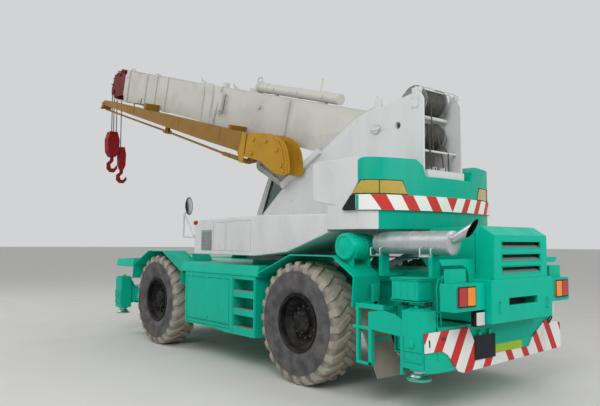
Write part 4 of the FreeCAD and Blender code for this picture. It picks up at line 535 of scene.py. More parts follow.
# each jack's name, side of the crane and place along it; they stand this far out, where each housing ends,
# and their casings' faces
STANDS = (("rear_left", 1, -1798), ("rear_right", -1, -1515), ("front_left", 1, 5208),
          ("front_right", -1, 4925))
JACK_OUT, HOUSING_END, CASING_FACE = 1211, 1100, 1315
for stand, out, middle in STANDS:
    eased("outrigger_beam_" + stand, 5, green_enamel, "outrigger_" + stand, "carrier_green")
    coat("jack_" + stand, chrome_rod)
    bm = bmesh.new()
    lathe(bm, ((370.5, 0), (370.5, 118), (376, 121), (384, 121), (390, 112), (400, 96), (412, 84), (420, 78),
               (430, 78), (436, 66), (436, 0)), (middle, out * JACK_OUT, 0), "Z", steps=48)
    finished("jack_foot_" + stand, bm, green_enamel, "jack_" + stand, "carrier_green")
    bm = bmesh.new()
    # casing: cap, collar at the rod's mouth, gusset on the beam and the hose coupling
    block(bm, (middle - 100, middle + 100), (out * JACK_OUT - 78, out * JACK_OUT + 78), (1040, 1052))
    band(bm, (middle, out * JACK_OUT, 0), "Z", 466, 480, 84, 98, 36)
    for turn in (-1, 1):
        slab(bm, ((out * 1110, 850), (out * 1110, 1010), (out * 1010, 850)), middle + turn * 90 - 6,
             middle + turn * 90 + 6, "YZ")
    lathe(bm, ((1052, 16), (1052, 22), (1078, 22), (1078, 0)), (middle + 60, out * 1170, 0), "Z", steps=6)
    # guard bars and the round boss on the casing's outer face
    for half, high, low in ((117, 789, 655), (110, 632, 556)):
        pipe(bm, [(middle + x, out * CASING_FACE, z)
                  for x, z in ((-half, high), (-half, low), (half, low), (half, high))], 8, sides=10)
    lathe(bm, [(out * along, radius) for along, radius in ((1308, 0), (1308, 42), (1319, 42), (1323, 36),
                                                           (1323, 0))],
          (middle + 15, 0, 722), "Y", steps=36)
    finished("jack_fittings_" + stand, bm, green_enamel, "outrigger_" + stand, "carrier_green", ease=2)
    bm = bmesh.new()
    block(bm, (middle - 150, middle + 150), (out * HOUSING_END - 14, out * HOUSING_END), (560, 880))
    collar = drawn("housing_collar_" + stand, bm, green_enamel, ease=3)
    bm = bmesh.new()
    block(bm, (middle - 123, middle + 123), (out * HOUSING_END - 30, out * HOUSING_END + 12), (585, 855))
    hole = drawn("housing_bore_" + stand, bm, green_enamel)
    carve = collar.modifiers.new("Bore", "BOOLEAN")
    carve.object = hole
    carve.solver = "EXACT"
    collar.modifiers.move(1, 0)
    bpy.context.view_layer.update()
    shaped = collar.evaluated_get(bpy.context.evaluated_depsgraph_get())
    collar.data = bpy.data.meshes.new_from_object(shaped)
    collar.modifiers.clear()
    bpy.data.objects.remove(hole)
    placed(collar, "carrier")


# Deck, fenders and wheel wells
# Folded plate in green enamel with non-slip paint on top; dust lies on every level face. Fenders and wells
# are thin plates with a rolled lip.
eased("deck", 6, green_enamel, "carrier", "carrier_green")
eased("fenders", 2.5, green_enamel, "carrier", "carrier_green", sharp=20)
bm = bmesh.new()
for axle, corners in ((0, ((800, 1290), (127, 1550), (-650, 1550), (-985, 1336), (-965, 1010))),
                      (WHEELBASE, ((-865, 1050), (-865, 1240), (-216, 1548), (300, 1548), (900, 1290),
                                   (940, 1050)))):
    for side in (1, -1):
        pipe(bm, [(axle + x * 0.995, side * 1297, z - 4) for x, z in corners], 7, sides=8)
finished("fender_lips", bm, green_enamel, "carrier", "carrier_green")
# raised pattern of the non-slip plates, its bars 60 mm apart
TREAD_PITCH = 0.06
bm = bmesh.new()
slab(bm, ((-24, -4), (24, -4), (24, 4), (-24, 4)), 1385, 1387.5, "XY")
bm.transform(Matrix.Translation((4700, -1200, 0)) @ Matrix.Rotation(math.radians(45), 4, "Z"))
tread = drawn("deck_tread_a", bm, green_enamel)
for count, step in ((41, (0.0, TREAD_PITCH, 0.0)), (10, (TREAD_PITCH, 0.0, 0.0))):
    grown(tread, ALONG, Count=count, Step=step, Finish=green_enamel)
placed(tread, "carrier")


# Side boxes and steps
# Boxed lockers between the wheels, of folded sheet in green enamel, with three steps let in and a hinged lid.
# The boxes are the source's; the lid's seam, hinges, latch, treads and corner trims are added.
eased("side_boxes", 7, green_enamel, "carrier", "carrier_green")
# a shadow, almost black
dark_gap = painted("shadowed_seam", "#0A2A24", "#12231F", "#1A1512", wear=0.1, gloss=0.8)
# mottled grey metal with a low sheen
galvanised = painted("galvanised_step", "#8E918F", "#6E675B", "#6A4A34", wear=0.8, gloss=0.45, scale=3,
                     metal=0.8)
# the lockers' outer faces stand this far out
SKIN = 1290


def seam_round(bm, x, z, y, wide=3.0, deep=1.4):
    """A lid's or door's joint: four narrow dark strips on an upright face."""
    half = wide / 2
    for ax, bx, az, bz in ((x[0], x[1], z[0], z[0]), (x[0], x[1], z[1], z[1]), (x[0], x[0], z[0], z[1]),
                           (x[1], x[1], z[0], z[1])):
        block(bm, (ax - half, bx + half), (y - deep / 2, y + deep / 2), (az - half, bz + half))


bm = bmesh.new()
seams = bmesh.new()
for side in (1, -1):
    y = side * SKIN
    for z in ((560, 1180), (500, 545)):
        seam_round(seams, (1480, 2660), z, y, 4, 3)
    for x in (1620, 2070, 2520):
        pipe(bm, ((x - 40, y + side * 3, 1184), (x + 40, y + side * 3, 1184)), 8, sides=12)
        block(bm, (x - 32, x + 32), (y - 1, y + side * 3), (1188, 1218))
    block(bm, (2040, 2100), (y - 1, y + side * 8), (590, 630))
    lathe(bm, ((y + side * 8, 14), (y + side * 12, 14), (y + side * 12, 0)), (2070, 0, 610), "Y", steps=24)
    for trim in ((862, 884), (1386, 1404)):
        block(bm, trim, (y - 1, y + side * 6), (460, 1225))
finished("locker_seams", seams, dark_gap, "carrier", "carrier_green")
finished("locker_fittings", bm, green_enamel, "carrier", "carrier_green", ease=1.5)
# sides of the crane, with +Y on the left
SIDES = ((1, "left"), (-1, "right"))
for side, word in SIDES:
    bm = bmesh.new()
    for level in range(3):
        floor = 550 + 243 * level
        for k in range(7):
            x = 912 + 72 * k
            block(bm, (x, x + 36), (side * 1085, side * 1284), (floor + 0.5, floor + 5))
        block(bm, (897, 1373), (side * 1278, side * 1288), (floor, floor + 16))
    finished("step_treads_" + word, bm, galvanised, "carrier", "carrier_green", ease=1)


# Engine hood, radiator and engine
# A folded hood over a broader lower body, both in green enamel, open below. Three slots in its rear face show
# the radiator's dark core behind steel slats; the engine behind it is one plain block.
eased("engine_hood", 10, green_enamel, "carrier", "carrier_green", sharp=20)
coat("engine", cast_paint)
# dark and matt under dry dust
soot = painted("dusty_radiator_core", "#2E3331", "#6B675C", "#3A2A20", wear=0.8, gloss=0.7, scale=4)
bm = bmesh.new()
block(bm, (-2150, -2110), (-470, 470), (1280, 1780))
finished("radiator_core", bm, soot, "carrier", "cast_steel", ease=4)
# pale dusty green, without gloss
slat_paint = painted("dusty_slat_enamel", "#6F8E86", "#8A8478", "#4B3A2C", wear=0.9, gloss=0.6, scale=4)
# lowest edge of each slot, the slots' height and half their width
SLOTS, SLOT_HIGH, SLOT_HALF = (1648, 1518, 1388), 72, 385
rows = []
for base in SLOTS:
    bm = bmesh.new()
    slab(bm, ((-2204, base + 2), (-2166, base + 34), (-2163, base + 31), (-2201, base - 1)), -384, 384, "XZ")
    rows.append(grown(drawn(f"slat_row_{base}", bm, slat_paint), ALONG, Count=2, Step=(0.03, 0.0, 0.012),
                      Finish=slat_paint))
joined("hood_slats", rows, "carrier")
bm = bmesh.new()
seams = bmesh.new()
for side in (1, -1):
    for x, z in (((-1990, -1450), (1398, 1402)), ((-1990, -1986), (1400, 1800)),
                 ((-1454, -1450), (1400, 1800)), ((-1990, -1450), (1798, 1802))):
        block(seams, x, (side * 524 - 1.5, side * 524 + 1.5), z)
    for x in (-1880, -1560):
        pipe(bm, ((x - 34, side * 529, 1806), (x + 34, side * 529, 1806)), 7, sides=10)
    block(bm, (-1745, -1695), (side * 523, side * 533), (1418, 1440))
finished("hood_seams", seams, dark_gap, "carrier", "carrier_green")
# rim of each slot, folded outwards
for base in SLOTS:
    for low, high in ((base, base), (base + SLOT_HIGH, base + SLOT_HIGH)):
        block(bm, (-2213, -2208), (-SLOT_HALF - 4, SLOT_HALF + 4), (low - 4, high + 4))
    for y in (-SLOT_HALF, SLOT_HALF):
        block(bm, (-2213, -2208), (y - 4, y + 4), (base - 4, base + SLOT_HIGH + 4))
for side in (1, -1):
    pipe(bm, ((-2226, side * 470, 1000), (-2244, side * 470, 1000), (-2244, side * 470, 1110),
              (-2226, side * 470, 1110)), 6, sides=8)
finished("hood_fittings", bm, green_enamel, "carrier", "carrier_green", ease=1.5)


# Muffler and tail pipe
# A drum of aluminised sheet steel with domed caps and rolled seams lies on two green cradles under steel
# straps; its tail pipe rises to the rear and is cut off upright, black inside with soot and painted shade.
# Drum, pipe and cradles are the source's.

# silvery metal with brown tarnish from heat
aluminised = painted("aluminised_muffler_sheet", "#C6CBCE", "#8C8274", "#7A5238", wear=0.55, gloss=0.3,
                     scale=2, metal=0.75)
# black and wholly matt: soot on the cut rim, and painted shade on the disc that closes the bore
soot_and_shade = painted("soot_and_shade_pipe_mouth", "#0C0C0C", "#1C1A18", "#241C16", wear=0.5, gloss=0.9, scale=3)
# the drum's axis runs along the crane here
DRUM = Vector((0, 900, 1702))
drum = eased("muffler", 1.5, [aluminised, green_enamel], "carrier", "muffler_metal", sharp=40)
# the cradles below the drum, which is 121 mm in radius, are green
for face in drum.data.polygons:
    centre = MACHINE.inverted() @ face.center
    if centre.z < 1700 and (centre - DRUM).yz.length > 126:
        face.material_index = 1
bm = bmesh.new()
for x in (-1980, -1500, -1020):
    lathe(bm, ((x - 5, 121.5), (x - 3, 125), (x + 3, 125), (x + 5, 121.5)), DRUM, "X", steps=72)
lathe(bm, ((-2010.5, 0), (-2010.5, 52), (-2008, 58), (-2004, 60), (-2004, 0)), (0, 900, 1748), "X", steps=48)
# places of the two cradles along the drum
CRADLES = (-1751, -1064)
for x in CRADLES:
    band(bm, DRUM, "X", x - 24, x + 24, 121.5, 124.5)
    pipe(bm, ((x - 70, 1008, 1650), (x - 70, 1042, 1640), (x - 70, 1042, 1560), (x + 70, 1042, 1560),
              (x + 70, 1042, 1640), (x + 70, 1008, 1650)), 8, sides=10)
    disc(bm, (x, 0, 1652), "Y", 1024, 1034, 9, 6)
finished("muffler_seams", bm, aluminised, "carrier", "muffler_metal", sharp=60)
# soot on the cut rim, painted shade on a disc 60 mm down the bore; the pipe rises 28 degrees to the rear
bm = bmesh.new()
along = Vector((math.cos(math.radians(152)), 0, math.sin(math.radians(152))))
low, high = Vector((-2126, 900, 1700)), Vector((-2294, 900, 1971))
root = Vector((-2030, 900, 1748))
rise = Vector((0, 1, 0)).cross(along)
plane = (high - low).normalized().cross(Vector((0, 1, 0)))
hoops = []
for radius, reach in ((50.6, -16), (50.6, 1.5), (45.4, 1.5), (45.4, -60)):
    hoop = []
    for k in range(48):
        turn = 2 * math.pi * k / 48
        start = root + Vector((0, radius * math.cos(turn), 0)) + rise * radius * math.sin(turn)
        hoop.append(bm.verts.new(start + along * ((low - start).dot(plane) / along.dot(plane) + reach)))
    hoops.append(hoop)
for first, second in zip(hoops, hoops[1:]):
    for k in range(48):
        bm.faces.new((first[k], first[(k + 1) % 48], second[(k + 1) % 48], second[k]))
bm.faces.new(hoops[-1])
finished("pipe_mouth", bm, soot_and_shade, "carrier", "muffler_metal", sharp=60)
bm = bmesh.new()
for x in CRADLES:
    block(bm, (x - 30, x + 30), (850, 960), (1560, 1572))
    for y in (700, 600):
        disc(bm, (x, y, 0), "Z", 1334, 1326, 11, 6)
finished("cradle_fittings", bm, green_enamel, "carrier", "carrier_green", ease=2)


# Air cleaner
# A pressed drum across the carrier in green enamel, with a clamped end cap whose face is dished, an inlet
# stub and a rubber elbow to the engine. The drum is made anew with its beads and clips.

# the drum's axis runs across the crane here
CLEANER_X, CLEANER_Z = -775, 1655
# dull black rubber
hose_rubber = painted("black_hose_rubber", "#1D1D1E", "#4E4A44", "#26221F", wear=0.5, gloss=0.6, scale=4)
bm = bmesh.new()
lathe(bm, ((800, 0), (800, 96), (806, 106), (858, 148), (866, 150), (1006, 150), (1010, 154), (1018, 154),
           (1022, 150), (1160, 150), (1164, 156), (1176, 156), (1180, 150), (1232, 150), (1243, 145),
           (1250, 134), (1250, 118), (1243, 112), (1243, 60), (1247, 54), (1247, 0)),
           (CLEANER_X, 0, CLEANER_Z), "Y", steps=72)
finished("air_cleaner_drum", bm, green_enamel, "carrier", "carrier_green", "air_cleaner")
bm = bmesh.new()
for turn in range(4):
    angle = math.radians(45 + 90 * turn)
    a, b = 156 * math.cos(angle), 156 * math.sin(angle)
    block(bm, (CLEANER_X + a - 9, CLEANER_X + a + 9), (1150, 1196), (CLEANER_Z + b - 9, CLEANER_Z + b + 9))
for y in (900, 1160):
    slab(bm, ((-860, 1418), (-690, 1527), (-690, 1545), (-720, 1530), (-775, 1510), (-830, 1530),
              (-860, 1545)),
         y, y + 30)
finished("air_cleaner_fittings", bm, green_enamel, "carrier", "carrier_green", ease=2)
bm = bmesh.new()
pipe(bm, ((-775, 806, 1655), (-775, 740, 1655), (-800, 690, 1655), (-860, 660, 1650), (-1100, 600, 1640),
          (-1395, 450, 1640)), 52, sides=28)
for y in (760, 790):
    band(bm, (CLEANER_X, 0, CLEANER_Z), "Y", y - 6, y + 6, 52, 56, 36)
finished("air_duct", bm, hose_rubber, "carrier", "cast_steel", sharp=60)


# Lamp boxes and rear lamps
# Folded steel boxes at both sides of the lower body carry red and amber lamps of moulded acrylic under clear
# ribs, with a white reversing lamp below each.
def lamp_plastic(name, tint, glow=0.15):
    """Moulded acrylic with prism ribs a few millimetres apart behind a polished face."""
    made, tree, out = material(name)
    coords = add(tree, "ShaderNodeTexCoord")
    # ribs of 12 mm, coarser than a lens's so that they show
    ribs = add(tree, "ShaderNodeTexWave", {"Vector": coords.outputs["Object"], "Scale": 26.0,
                                           "Distortion": 0.2},
               bands_direction="Y")
    cross = add(tree, "ShaderNodeTexWave", {"Vector": coords.outputs["Object"], "Scale": 26.0,
                                            "Distortion": 0.2},
                bands_direction="Z")
    height = add(tree, "ShaderNodeMath", {0: ribs.outputs["Fac"], 1: cross.outputs["Fac"]},
                 operation="MULTIPLY")
    bump = add(tree, "ShaderNodeBump", {"Height": height.outputs[0], "Strength": 0.35, "Distance": 0.002})
    dusty = add(tree, "ShaderNodeTexNoise", {"Vector": coords.outputs["Object"], "Scale": 14.0, "Detail": 4})
    shade = add(tree, "ShaderNodeHueSaturation", {"Color": linear(tint), "Fac": dusty.outputs["Fac"],
                                                  "Value": 0.8})
    shader = add(tree, "ShaderNodeBsdfPrincipled", {
        "Base Color": shade.outputs[0], "Roughness": 0.12, "Coat Weight": 0.6, "Normal": bump.outputs[0],
        "Emission Color": linear(tint), "Emission Strength": glow})
    tree.links.new(shader.outputs[0], out.inputs["Surface"])
    return made


# deep red with fine ribs under a polished face; the two others are alike in amber and clear
red_lens = lamp_plastic("red_acrylic_lens", "#B5121B")
amber_lens = lamp_plastic("amber_acrylic_lens", "#F08A1D")
clear_lens = lamp_plastic("clear_acrylic_lens", "#D8DAD6", 0.05)
eased("lamp_boxes", 8, green_enamel, "carrier", "carrier_green")


def lens_block(name, y, z, paint, x=-2155):
    """A lens that stands a little proud of a face that looks to the rear, with rounded edges."""
    bm = bmesh.new()
    block(bm, (x - 20, x + 2), y, z)
    return finished(name, bm, paint, "carrier", "carrier_green", ease=9, segments=4)


for side, word in SIDES:
    for name, near, far, paint in (("amber", 797, 932, amber_lens), ("red", 935, 1070, red_lens)):
        lens_block(f"{name}_lamp_{word}", flank(side, near, far), (1091, 1272), paint)
    inner, outer = flank(side, 790, 1077)
    bm = bmesh.new()
    block(bm, (-2173, -2168), (inner, outer), (1083, 1280))
    finished(f"lamp_bezel_{word}", bm, hose_rubber, "carrier", "carrier_green", ease=2)
    inner, outer = flank(side, 612, 760)
    lens_block(f"reversing_lamp_{word}", (inner + 10, outer - 10), (886, 1016), clear_lens, x=-2140)
    bm = bmesh.new()
    block(bm, (-2142, -2085), (inner, outer), (876, 1026))
    block(bm, (-2120, -2090), flank(side, 655, 717), (1026, 1042))
    finished(f"lamp_housing_{word}", bm, black_enamel, "carrier", "carrier_green", ease=6)


# Warning board, number plate and rear apron
# A steel sheet bolted across the tail carries red and white reflective bands, cut and stuck on by hand so
# that they lean apart from the middle. A blank dark plate and a strip of yellow-green reflector hang beside
# each other.
def striped(name, ground, band, seam, lean, left, right, wear=0.3):
    """Reflective bands on sheet: each side of a seam has a first edge, a pitch and a band's width."""
    made = painted(name, ground, "#8B8577", "#6B4A34", wear=wear, gloss=0.3, streaks=1.5, low=0.3)
    tree = made.node_tree
    coords = add(tree, "ShaderNodeTexCoord")
    place = add(tree, "ShaderNodeSeparateXYZ", {0: coords.outputs["Object"]})
    rise = add(tree, "ShaderNodeMath", {0: place.outputs["Z"], 1: lean}, operation="MULTIPLY")
    share = []
    for way, (edge, pitch, width) in ((-1, left), (1, right)):
        across = add(tree, "ShaderNodeMath", {0: place.outputs["Y"], 1: way}, operation="MULTIPLY")
        slanted = add(tree, "ShaderNodeMath", {0: across.outputs[0], 1: rise.outputs[0]}, operation="ADD")
        start = add(tree, "ShaderNodeMath", {0: slanted.outputs[0], 1: -way * edge / 1000}, operation="ADD")
        turn = add(tree, "ShaderNodeMath", {0: start.outputs[0], 1: pitch / 1000}, operation="FLOORED_MODULO")
        share.append(add(tree, "ShaderNodeMath", {0: turn.outputs[0], 1: width / 1000},
                         operation="LESS_THAN"))
    beyond = add(tree, "ShaderNodeMath", {0: place.outputs["Y"], 1: seam / 1000}, operation="LESS_THAN")
    which = add(tree, "ShaderNodeMix", {0: beyond.outputs[0], 2: share[0].outputs[0], 3: share[1].outputs[0]})
    faded = next(node for node in tree.nodes if node.bl_idname == "ShaderNodeHueSaturation")
    chosen = add(tree, "ShaderNodeMix", {0: which.outputs[0], 6: linear(ground), 7: linear(band)},
                 data_type="RGBA")
    tree.links.new(chosen.outputs[2], faded.inputs["Color"])
    return made


# white sheet with red bands, soiled a little at its lower edge
board_bands = striped("reflective_board_sheet", "#EDEEEA", "#CF3A38", 40, -0.6, (1566, 322, 139),
                      (-508, 322, 122))
eased("warning_board", 1.5, board_bands, "carrier", "board_white")
# blue-black and smooth
plate_black = painted("blank_number_plate", "#20262E", "#6B675F", "#4A4038", wear=0.5, gloss=0.25, low=0.2)
# strong yellow-green with a smooth face
reflector = painted("yellow_green_reflector", "#A9C93C", "#8B8577", "#6B4A34", wear=0.5, gloss=0.25, low=0.2)
bm = bmesh.new()
slab(bm, ((132, 494), (502, 494), (502, 742), (132, 742)), -1960, -1956, "YZ")
finished("number_plate", bm, plate_black, "carrier", "board_white", ease=1.5)
bm = bmesh.new()
slab(bm, ((-435, 506), (121, 506), (121, 612), (-435, 612)), -1940, -1936.5, "YZ")
finished("reflector_strip", bm, reflector, "carrier", "board_white", ease=1)
bm = bmesh.new()
# apron behind the board, its curved corners below the board's cut-outs, and the plate's two hangers
slab(bm, ((-640, 430), (700, 430), (780, 436), (940, 432), (1180, 442), (1298, 456), (1298, 640), (1030, 640),
          (700, 640), (330, 640), (-640, 640)), -1937, -1934, "YZ")
for y in (200, 380):
    block(bm, (-1956, -1950), (y, y + 46), (500, 735))
    block(bm, (-1958, -1934), (y, y + 46), (735, 790))
finished("rear_apron", bm, green_enamel, "carrier", "carrier_green", ease=1.5)
bm = bmesh.new()
slab(bm, ((1226, 700), (1244, 700), (1250, 770), (1232, 770)), -1951.5, -1949.6, "YZ")
finished("board_lock_slot", bm, dark_gap, "carrier", "carrier_green")


# Mud flaps
# A thick sheet of reinforced rubber hangs in a slant behind each rear wheel, grey with dried mud, clamped
# under a steel strip to the stay that holds it. Flap and stay are the source's; strip and bolts are added.

# grey-brown rubber, dry with mud
flap_rubber = aged_rubber("muddy_flap_rubber", "#8E837B", "#A89A8E")
eased("mud_flaps", 4, flap_rubber, "carrier", "flap_rubber")
bm = bmesh.new()
for side in (1, -1):
    y0, y1 = flank(side, 846, 1240)
    block(bm, (-1122, -1113), (y0, y1), (640, 676))
    for k in range(4):
        lathe(bm, ((-1128, 0), (-1128, 9), (-1121, 11), (-1121, 0)), (0, side * (890 + 100 * k), 658), "X",
              steps=6)
finished("flap_clamps", bm, green_enamel, "carrier", "carrier_green", ease=1)


# Rear corner frames, tank and tubes
# Folded channels and a windowed plate close the corner between wheel and jack; above it sits a small pressed
# tank on coil springs with steel tubes beside it. None of these has its own solid in the source.
bm = bmesh.new()
for side in (1, -1):
    y = side * SKIN
    near, far = sorted((y - side * 46, y))
    skin = sorted((y - side * 5, y))
    # windowed plate: a deep head over the opening, and a leg at either side
    slab(bm, ((-1192, 800), (-1660, 770), (-1660, 935), (-1560, 985), (-1400, 1010), (-1192, 975)), *skin)
    slab(bm, ((-1190, 420), (-1236, 420), (-1236, 806), (-1190, 806)), near + 1, far - 1)
    slab(bm, ((-1624, 400), (-1659, 400), (-1659, 778), (-1624, 780)), near + 1, far - 1)
    slab(bm, ((-1240, 422), (-1240, 452), (-1012, 460), (-1012, 427)), skin[0] + 1, skin[1] - 1)
    slab(bm, ((-1009, 424), (-1047, 424), (-1047, 1012), (-1009, 1012)), near + 2, far - 2)
    slab(bm, ((-1007, 1008), (-1402, 1008), (-1402, 1060), (-1007, 1060)), near + 3, far - 3)
    block(bm, (-1193, -960), (skin[0] - 1, skin[1] - 1), (790, 824))
    # stays that tie the frame to the outrigger housing and the deck
    block(bm, (-1400, -1360), sorted((side * 1096, y)), (1000, 1040))
    block(bm, (-1056, -1016), sorted((side * 1000, y)), (1030, 1060))
    block(bm, (-1056, -1016), flank(side, 1000, 1060), (1030, 1250))
    block(bm, (-1400, -1360), flank(side, 1060, 1100), (860, 1040))
finished("corner_frames", bm, green_enamel, "carrier", "carrier_green", ease=1.5)
bm = bmesh.new()
block(bm, (-1785, -1445), (990, 1205), (1138, 1322))
for z in (1128, 1322, 1338):
    block(bm, (-1797, -1433), (980, 1215), (z, z + 12))
for x in (-1745, -1655, -1565, -1475):
    block(bm, (x - 5, x + 5), (1203, 1210), (1140, 1322))
block(bm, (-1800, -1430), (975, 1210), (1108, 1118))
block(bm, (-1800, -1430), (965, 1075), (1044, 1054))
for x in (-1770, -1460):
    block(bm, (x - 20, x + 20), (970, 1010), (878, 1044))
finished("spring_mounted_tank", bm, green_enamel, "carrier", "carrier_green", ease=4)
bm = bmesh.new()
for x in (-1770, -1460):
    for y in (990, 1052):
        turns = [(x + 20 * math.cos(a), y + 20 * math.sin(a), 1054 + 54 * k / 32)
                 for k, a in ((k, k * math.pi / 4) for k in range(33))]
        pipe(bm, turns, 4, sides=8)
finished("tank_springs", bm, zinc_nut, "carrier", "rim_paint", sharp=60)
bm = bmesh.new()
for k, (x, y) in enumerate(((-1845, 985), (-1862, 1003), (-1879, 968))):
    pipe(bm, ((x, y, 880), (x, y, 1180), (x + 14, y - 8, 1240), (x + 14, y - 40, 1330),
              (x + 14, y - 150, 1362), (x + 14, 640 - 14 * k, 1366), (x + 30, 600, 1366)), 8, sides=12)
    band(bm, (x, y, 0), "Z", 1100, 1124, 8, 13, 6)
block(bm, (-1892, -1836), (952, 1020), (1010, 1022))
block(bm, (-1836, -1785), (978, 990), (1010, 1022))
finished("hydraulic_tubes", bm, green_enamel, "carrier", "carrier_green", sharp=50)
bm = bmesh.new()
# angled plate of the lamp arm, with its junction box on the lamp box
for side in (1, -1):
    slab(bm, [(side * y, z) for y, z in ((560, 1309), (660, 1309), (667, 1380), (700, 1440), (770, 1476),
                                         (1110, 1480), (1150, 1541), (560, 1541))], -2006, -1998, "YZ")
    block(bm, (-2080, -2000), flank(side, 824, 1073), (1308, 1446))
finished("lamp_arms", bm, green_enamel, "carrier", "carrier_green", ease=2.5)
bm = bmesh.new()
# towing eye under the tail, on the right as in the photograph
eye = Vector((-1944, -1020, 800))
hoop = [eye + Vector((-22 - 16 * math.cos(a), 34 * math.sin(a), 34 * math.cos(a))) for a in
        (math.pi * k / 10 for k in range(21))]
pipe(bm, hoop, 9, sides=12)
for side in (1, -1):
    block(bm, (-1962, -1936), (side * 1020 - 24, side * 1020 + 24), (752, 776))
finished("tow_eye", bm, zinc_nut, "carrier", "rim_paint", sharp=60)


# Turntable, turret plates and slewing ring
# Two thick plates in the house's white enamel stand on a welded floor that turns on a bolted ball bearing.
# The solids are the source's; weld seams, the ring's bolts, the pin's keeper and the fittings at the top are
# added.

# cool white with a soft gloss and faint streaks of grime
house_white = painted("white_house_enamel", "#DADCDC", "#99938A", "#7A5A44", wear=0.3, gloss=0.27,
                      streaks=2.5, low=1.7)
eased("turntable", 3, house_white, "superstructure", "house_white")
# the upper edge of a turret plate, the plates' outer faces, and the place of the slewing axis
TURRET_TOP = ((-545, 3500), (-510, 3546), (-480, 3546), (-450, 3500), (-445, 3425), (-60, 3321), (639, 2935),
              (1381, 2545), (2060, 2045))
PLATE_FACE, SLEW_X = 380, 1630
bm = bmesh.new()
for side in (1, -1):
    for edge in (348.5, 381.5):
        pipe(bm, [(x, side * edge, z) for x, z in TURRET_TOP], 3.5, sides=6)
    out = side * PLATE_FACE
    # pin's keeper plate with two bolts, a grease plate and the round stiffener about the sight hole
    block(bm, (-560, -400), flank(side, 410, 418), (3112, 3148))
    for x in (-545, -415):
        disc(bm, (x, 0, 3130), "Y", side * 418, side * 426, 11, 6)
    band(bm, (-828, 0, 3126), "Y", out, out + side * 3, 44, 50, 40)
    block(bm, (-1150, -1040), sorted((out, out + side * 8)), (3300, 3440))
    for x, z in ((-1130, 3320), (-1130, 3420), (-1060, 3320), (-1060, 3420)):
        disc(bm, (x, 0, z), "Y", out + side * 8, out + side * 15, 9, 6)
    # weld ridges where the plates were lapped, and the strip's three fixings
    pipe(bm, ((-190, out, 2660), (-170, out, 2900), (-150, out, 3150), (-150, out, 3335)), 5, sides=8)
    pipe(bm, ((-60, out, 2660), (-20, out, 2960), (-10, out, 3280)), 5, sides=8)
    for x, z in ((650, 2700), (780, 2800), (1240, 2330)):
        lathe(bm, ((out, 0), (out, 40), (out + side * 6, 34), (out + side * 6, 0)), (x, 0, z), "Y", steps=28)
    block(bm, (-1184, -1040), flank(side, 356, 374), (3490, 3547))
for x in (-1150, -1075):
    pipe(bm, ((x, -350, 3560), (x, 350, 3560)), 9, sides=10)
    for y in (-340, 340):
        block(bm, (x - 7, x + 7), (y - 9, y + 9), (3480, 3566))
finished("turret_fittings", bm, house_white, "superstructure", "house_white", ease=1.2)
bm = bmesh.new()
hexagon(bm, (SLEW_X + 600, 0, 1436), 13, 10, "Z", -1)
ring = grown(drawn("slewing_ring_bolts", bm, zinc_nut, sharp=25), AROUND, Count=36,
             Centre=MACHINE @ Vector((SLEW_X, 0, 1440)), Axis=(0.0, 0.0, 1.0), Finish=zinc_nut)
placed(ring, "superstructure")


# Counterweight with its reflective band
# A heavy casting in the carrier's green, rounded in plan and along its top edge. A bumper band of red and
# white sheet runs round it, ends in black rubber at both flanks, and long amber lamps are let in above it.

# In plan the tail is an arc about the slewing axis, then a smaller arc at each corner, then a straight flank:
# the arcs' radii, the angle and length at which the first ends, the corner's centre and the corner's end
TAIL_ROUND, CORNER_ROUND = 2950, 400
TAIL_ANGLE, TAIL_LONG = 0.33981, 1002.4
CORNER_CENTRE, CORNER_END = (-774.2, 850), 1308.4


def round_tail(along, reach):
    """A place in plan at this length round the counterweight from its middle, this far outside its skin."""
    side, along = (1, along) if along >= 0 else (-1, -along)
    if along < TAIL_LONG:
        turn = along / TAIL_ROUND
        x, y = SLEW_X - (TAIL_ROUND + reach) * math.cos(turn), (TAIL_ROUND + reach) * math.sin(turn)
    elif along < CORNER_END:
        turn = TAIL_ANGLE + (along - TAIL_LONG) / CORNER_ROUND
        x = CORNER_CENTRE[0] - (CORNER_ROUND + reach) * math.cos(turn)
        y = CORNER_CENTRE[1] + (CORNER_ROUND + reach) * math.sin(turn)
    else:
        x, y = -954 + along - CORNER_END, 1207.3 + reach
    return x, side * y


def wrapped(bm, ends, reach, low, high, slopes=(0, 0)):
    """A sheet that follows the counterweight between two lengths, its ends cut aslant if asked."""
    steps = 72
    columns = []
    for k in range(steps + 1):
        along = ends[0] + (ends[1] - ends[0]) * k / steps
        top = high
        for end, slope in zip(ends, slopes):
            if slope:
                top = min(top, low + 2 + (high - low) * abs(along - end) / slope)
        corners = []
        for out, level in ((reach[0], low), (reach[1], low), (reach[1], top), (reach[0], top)):
            x, y = round_tail(along, out)
            corners.append(bm.verts.new((x, y, level)))
        columns.append(corners)
    for first, second in zip(columns, columns[1:]):
        for i in range(4):
            bm.faces.new((first[i], first[(i + 1) % 4], second[(i + 1) % 4], second[i]))
    bm.faces.new(columns[0])
    bm.faces.new(columns[-1])


# the green of the carrier, cleaner and a shade deeper
tail_green = painted("green_counterweight_enamel", "#08AD93", "#7D8478", "#4B3A2C", wear=0.22, gloss=0.24,
                     low=1.4)
eased("counterweight", 24, tail_green, "superstructure", "carrier_green", sharp=38, segments=5)
# white sheet with red bands all round the tail
tail_bands = striped("reflective_bumper_sheet", "#F2F2EE", "#D2443F", 24, 0.607, (-1226, 339, 155),
                     (1274, 300, 125), wear=0.15)
bm = bmesh.new()
wrapped(bm, (-1309, 1309), (24, 31.5), 2062, 2231)
finished("bumper_band", bm, tail_bands, "superstructure", "board_white", sharp=50, ease=1.5)
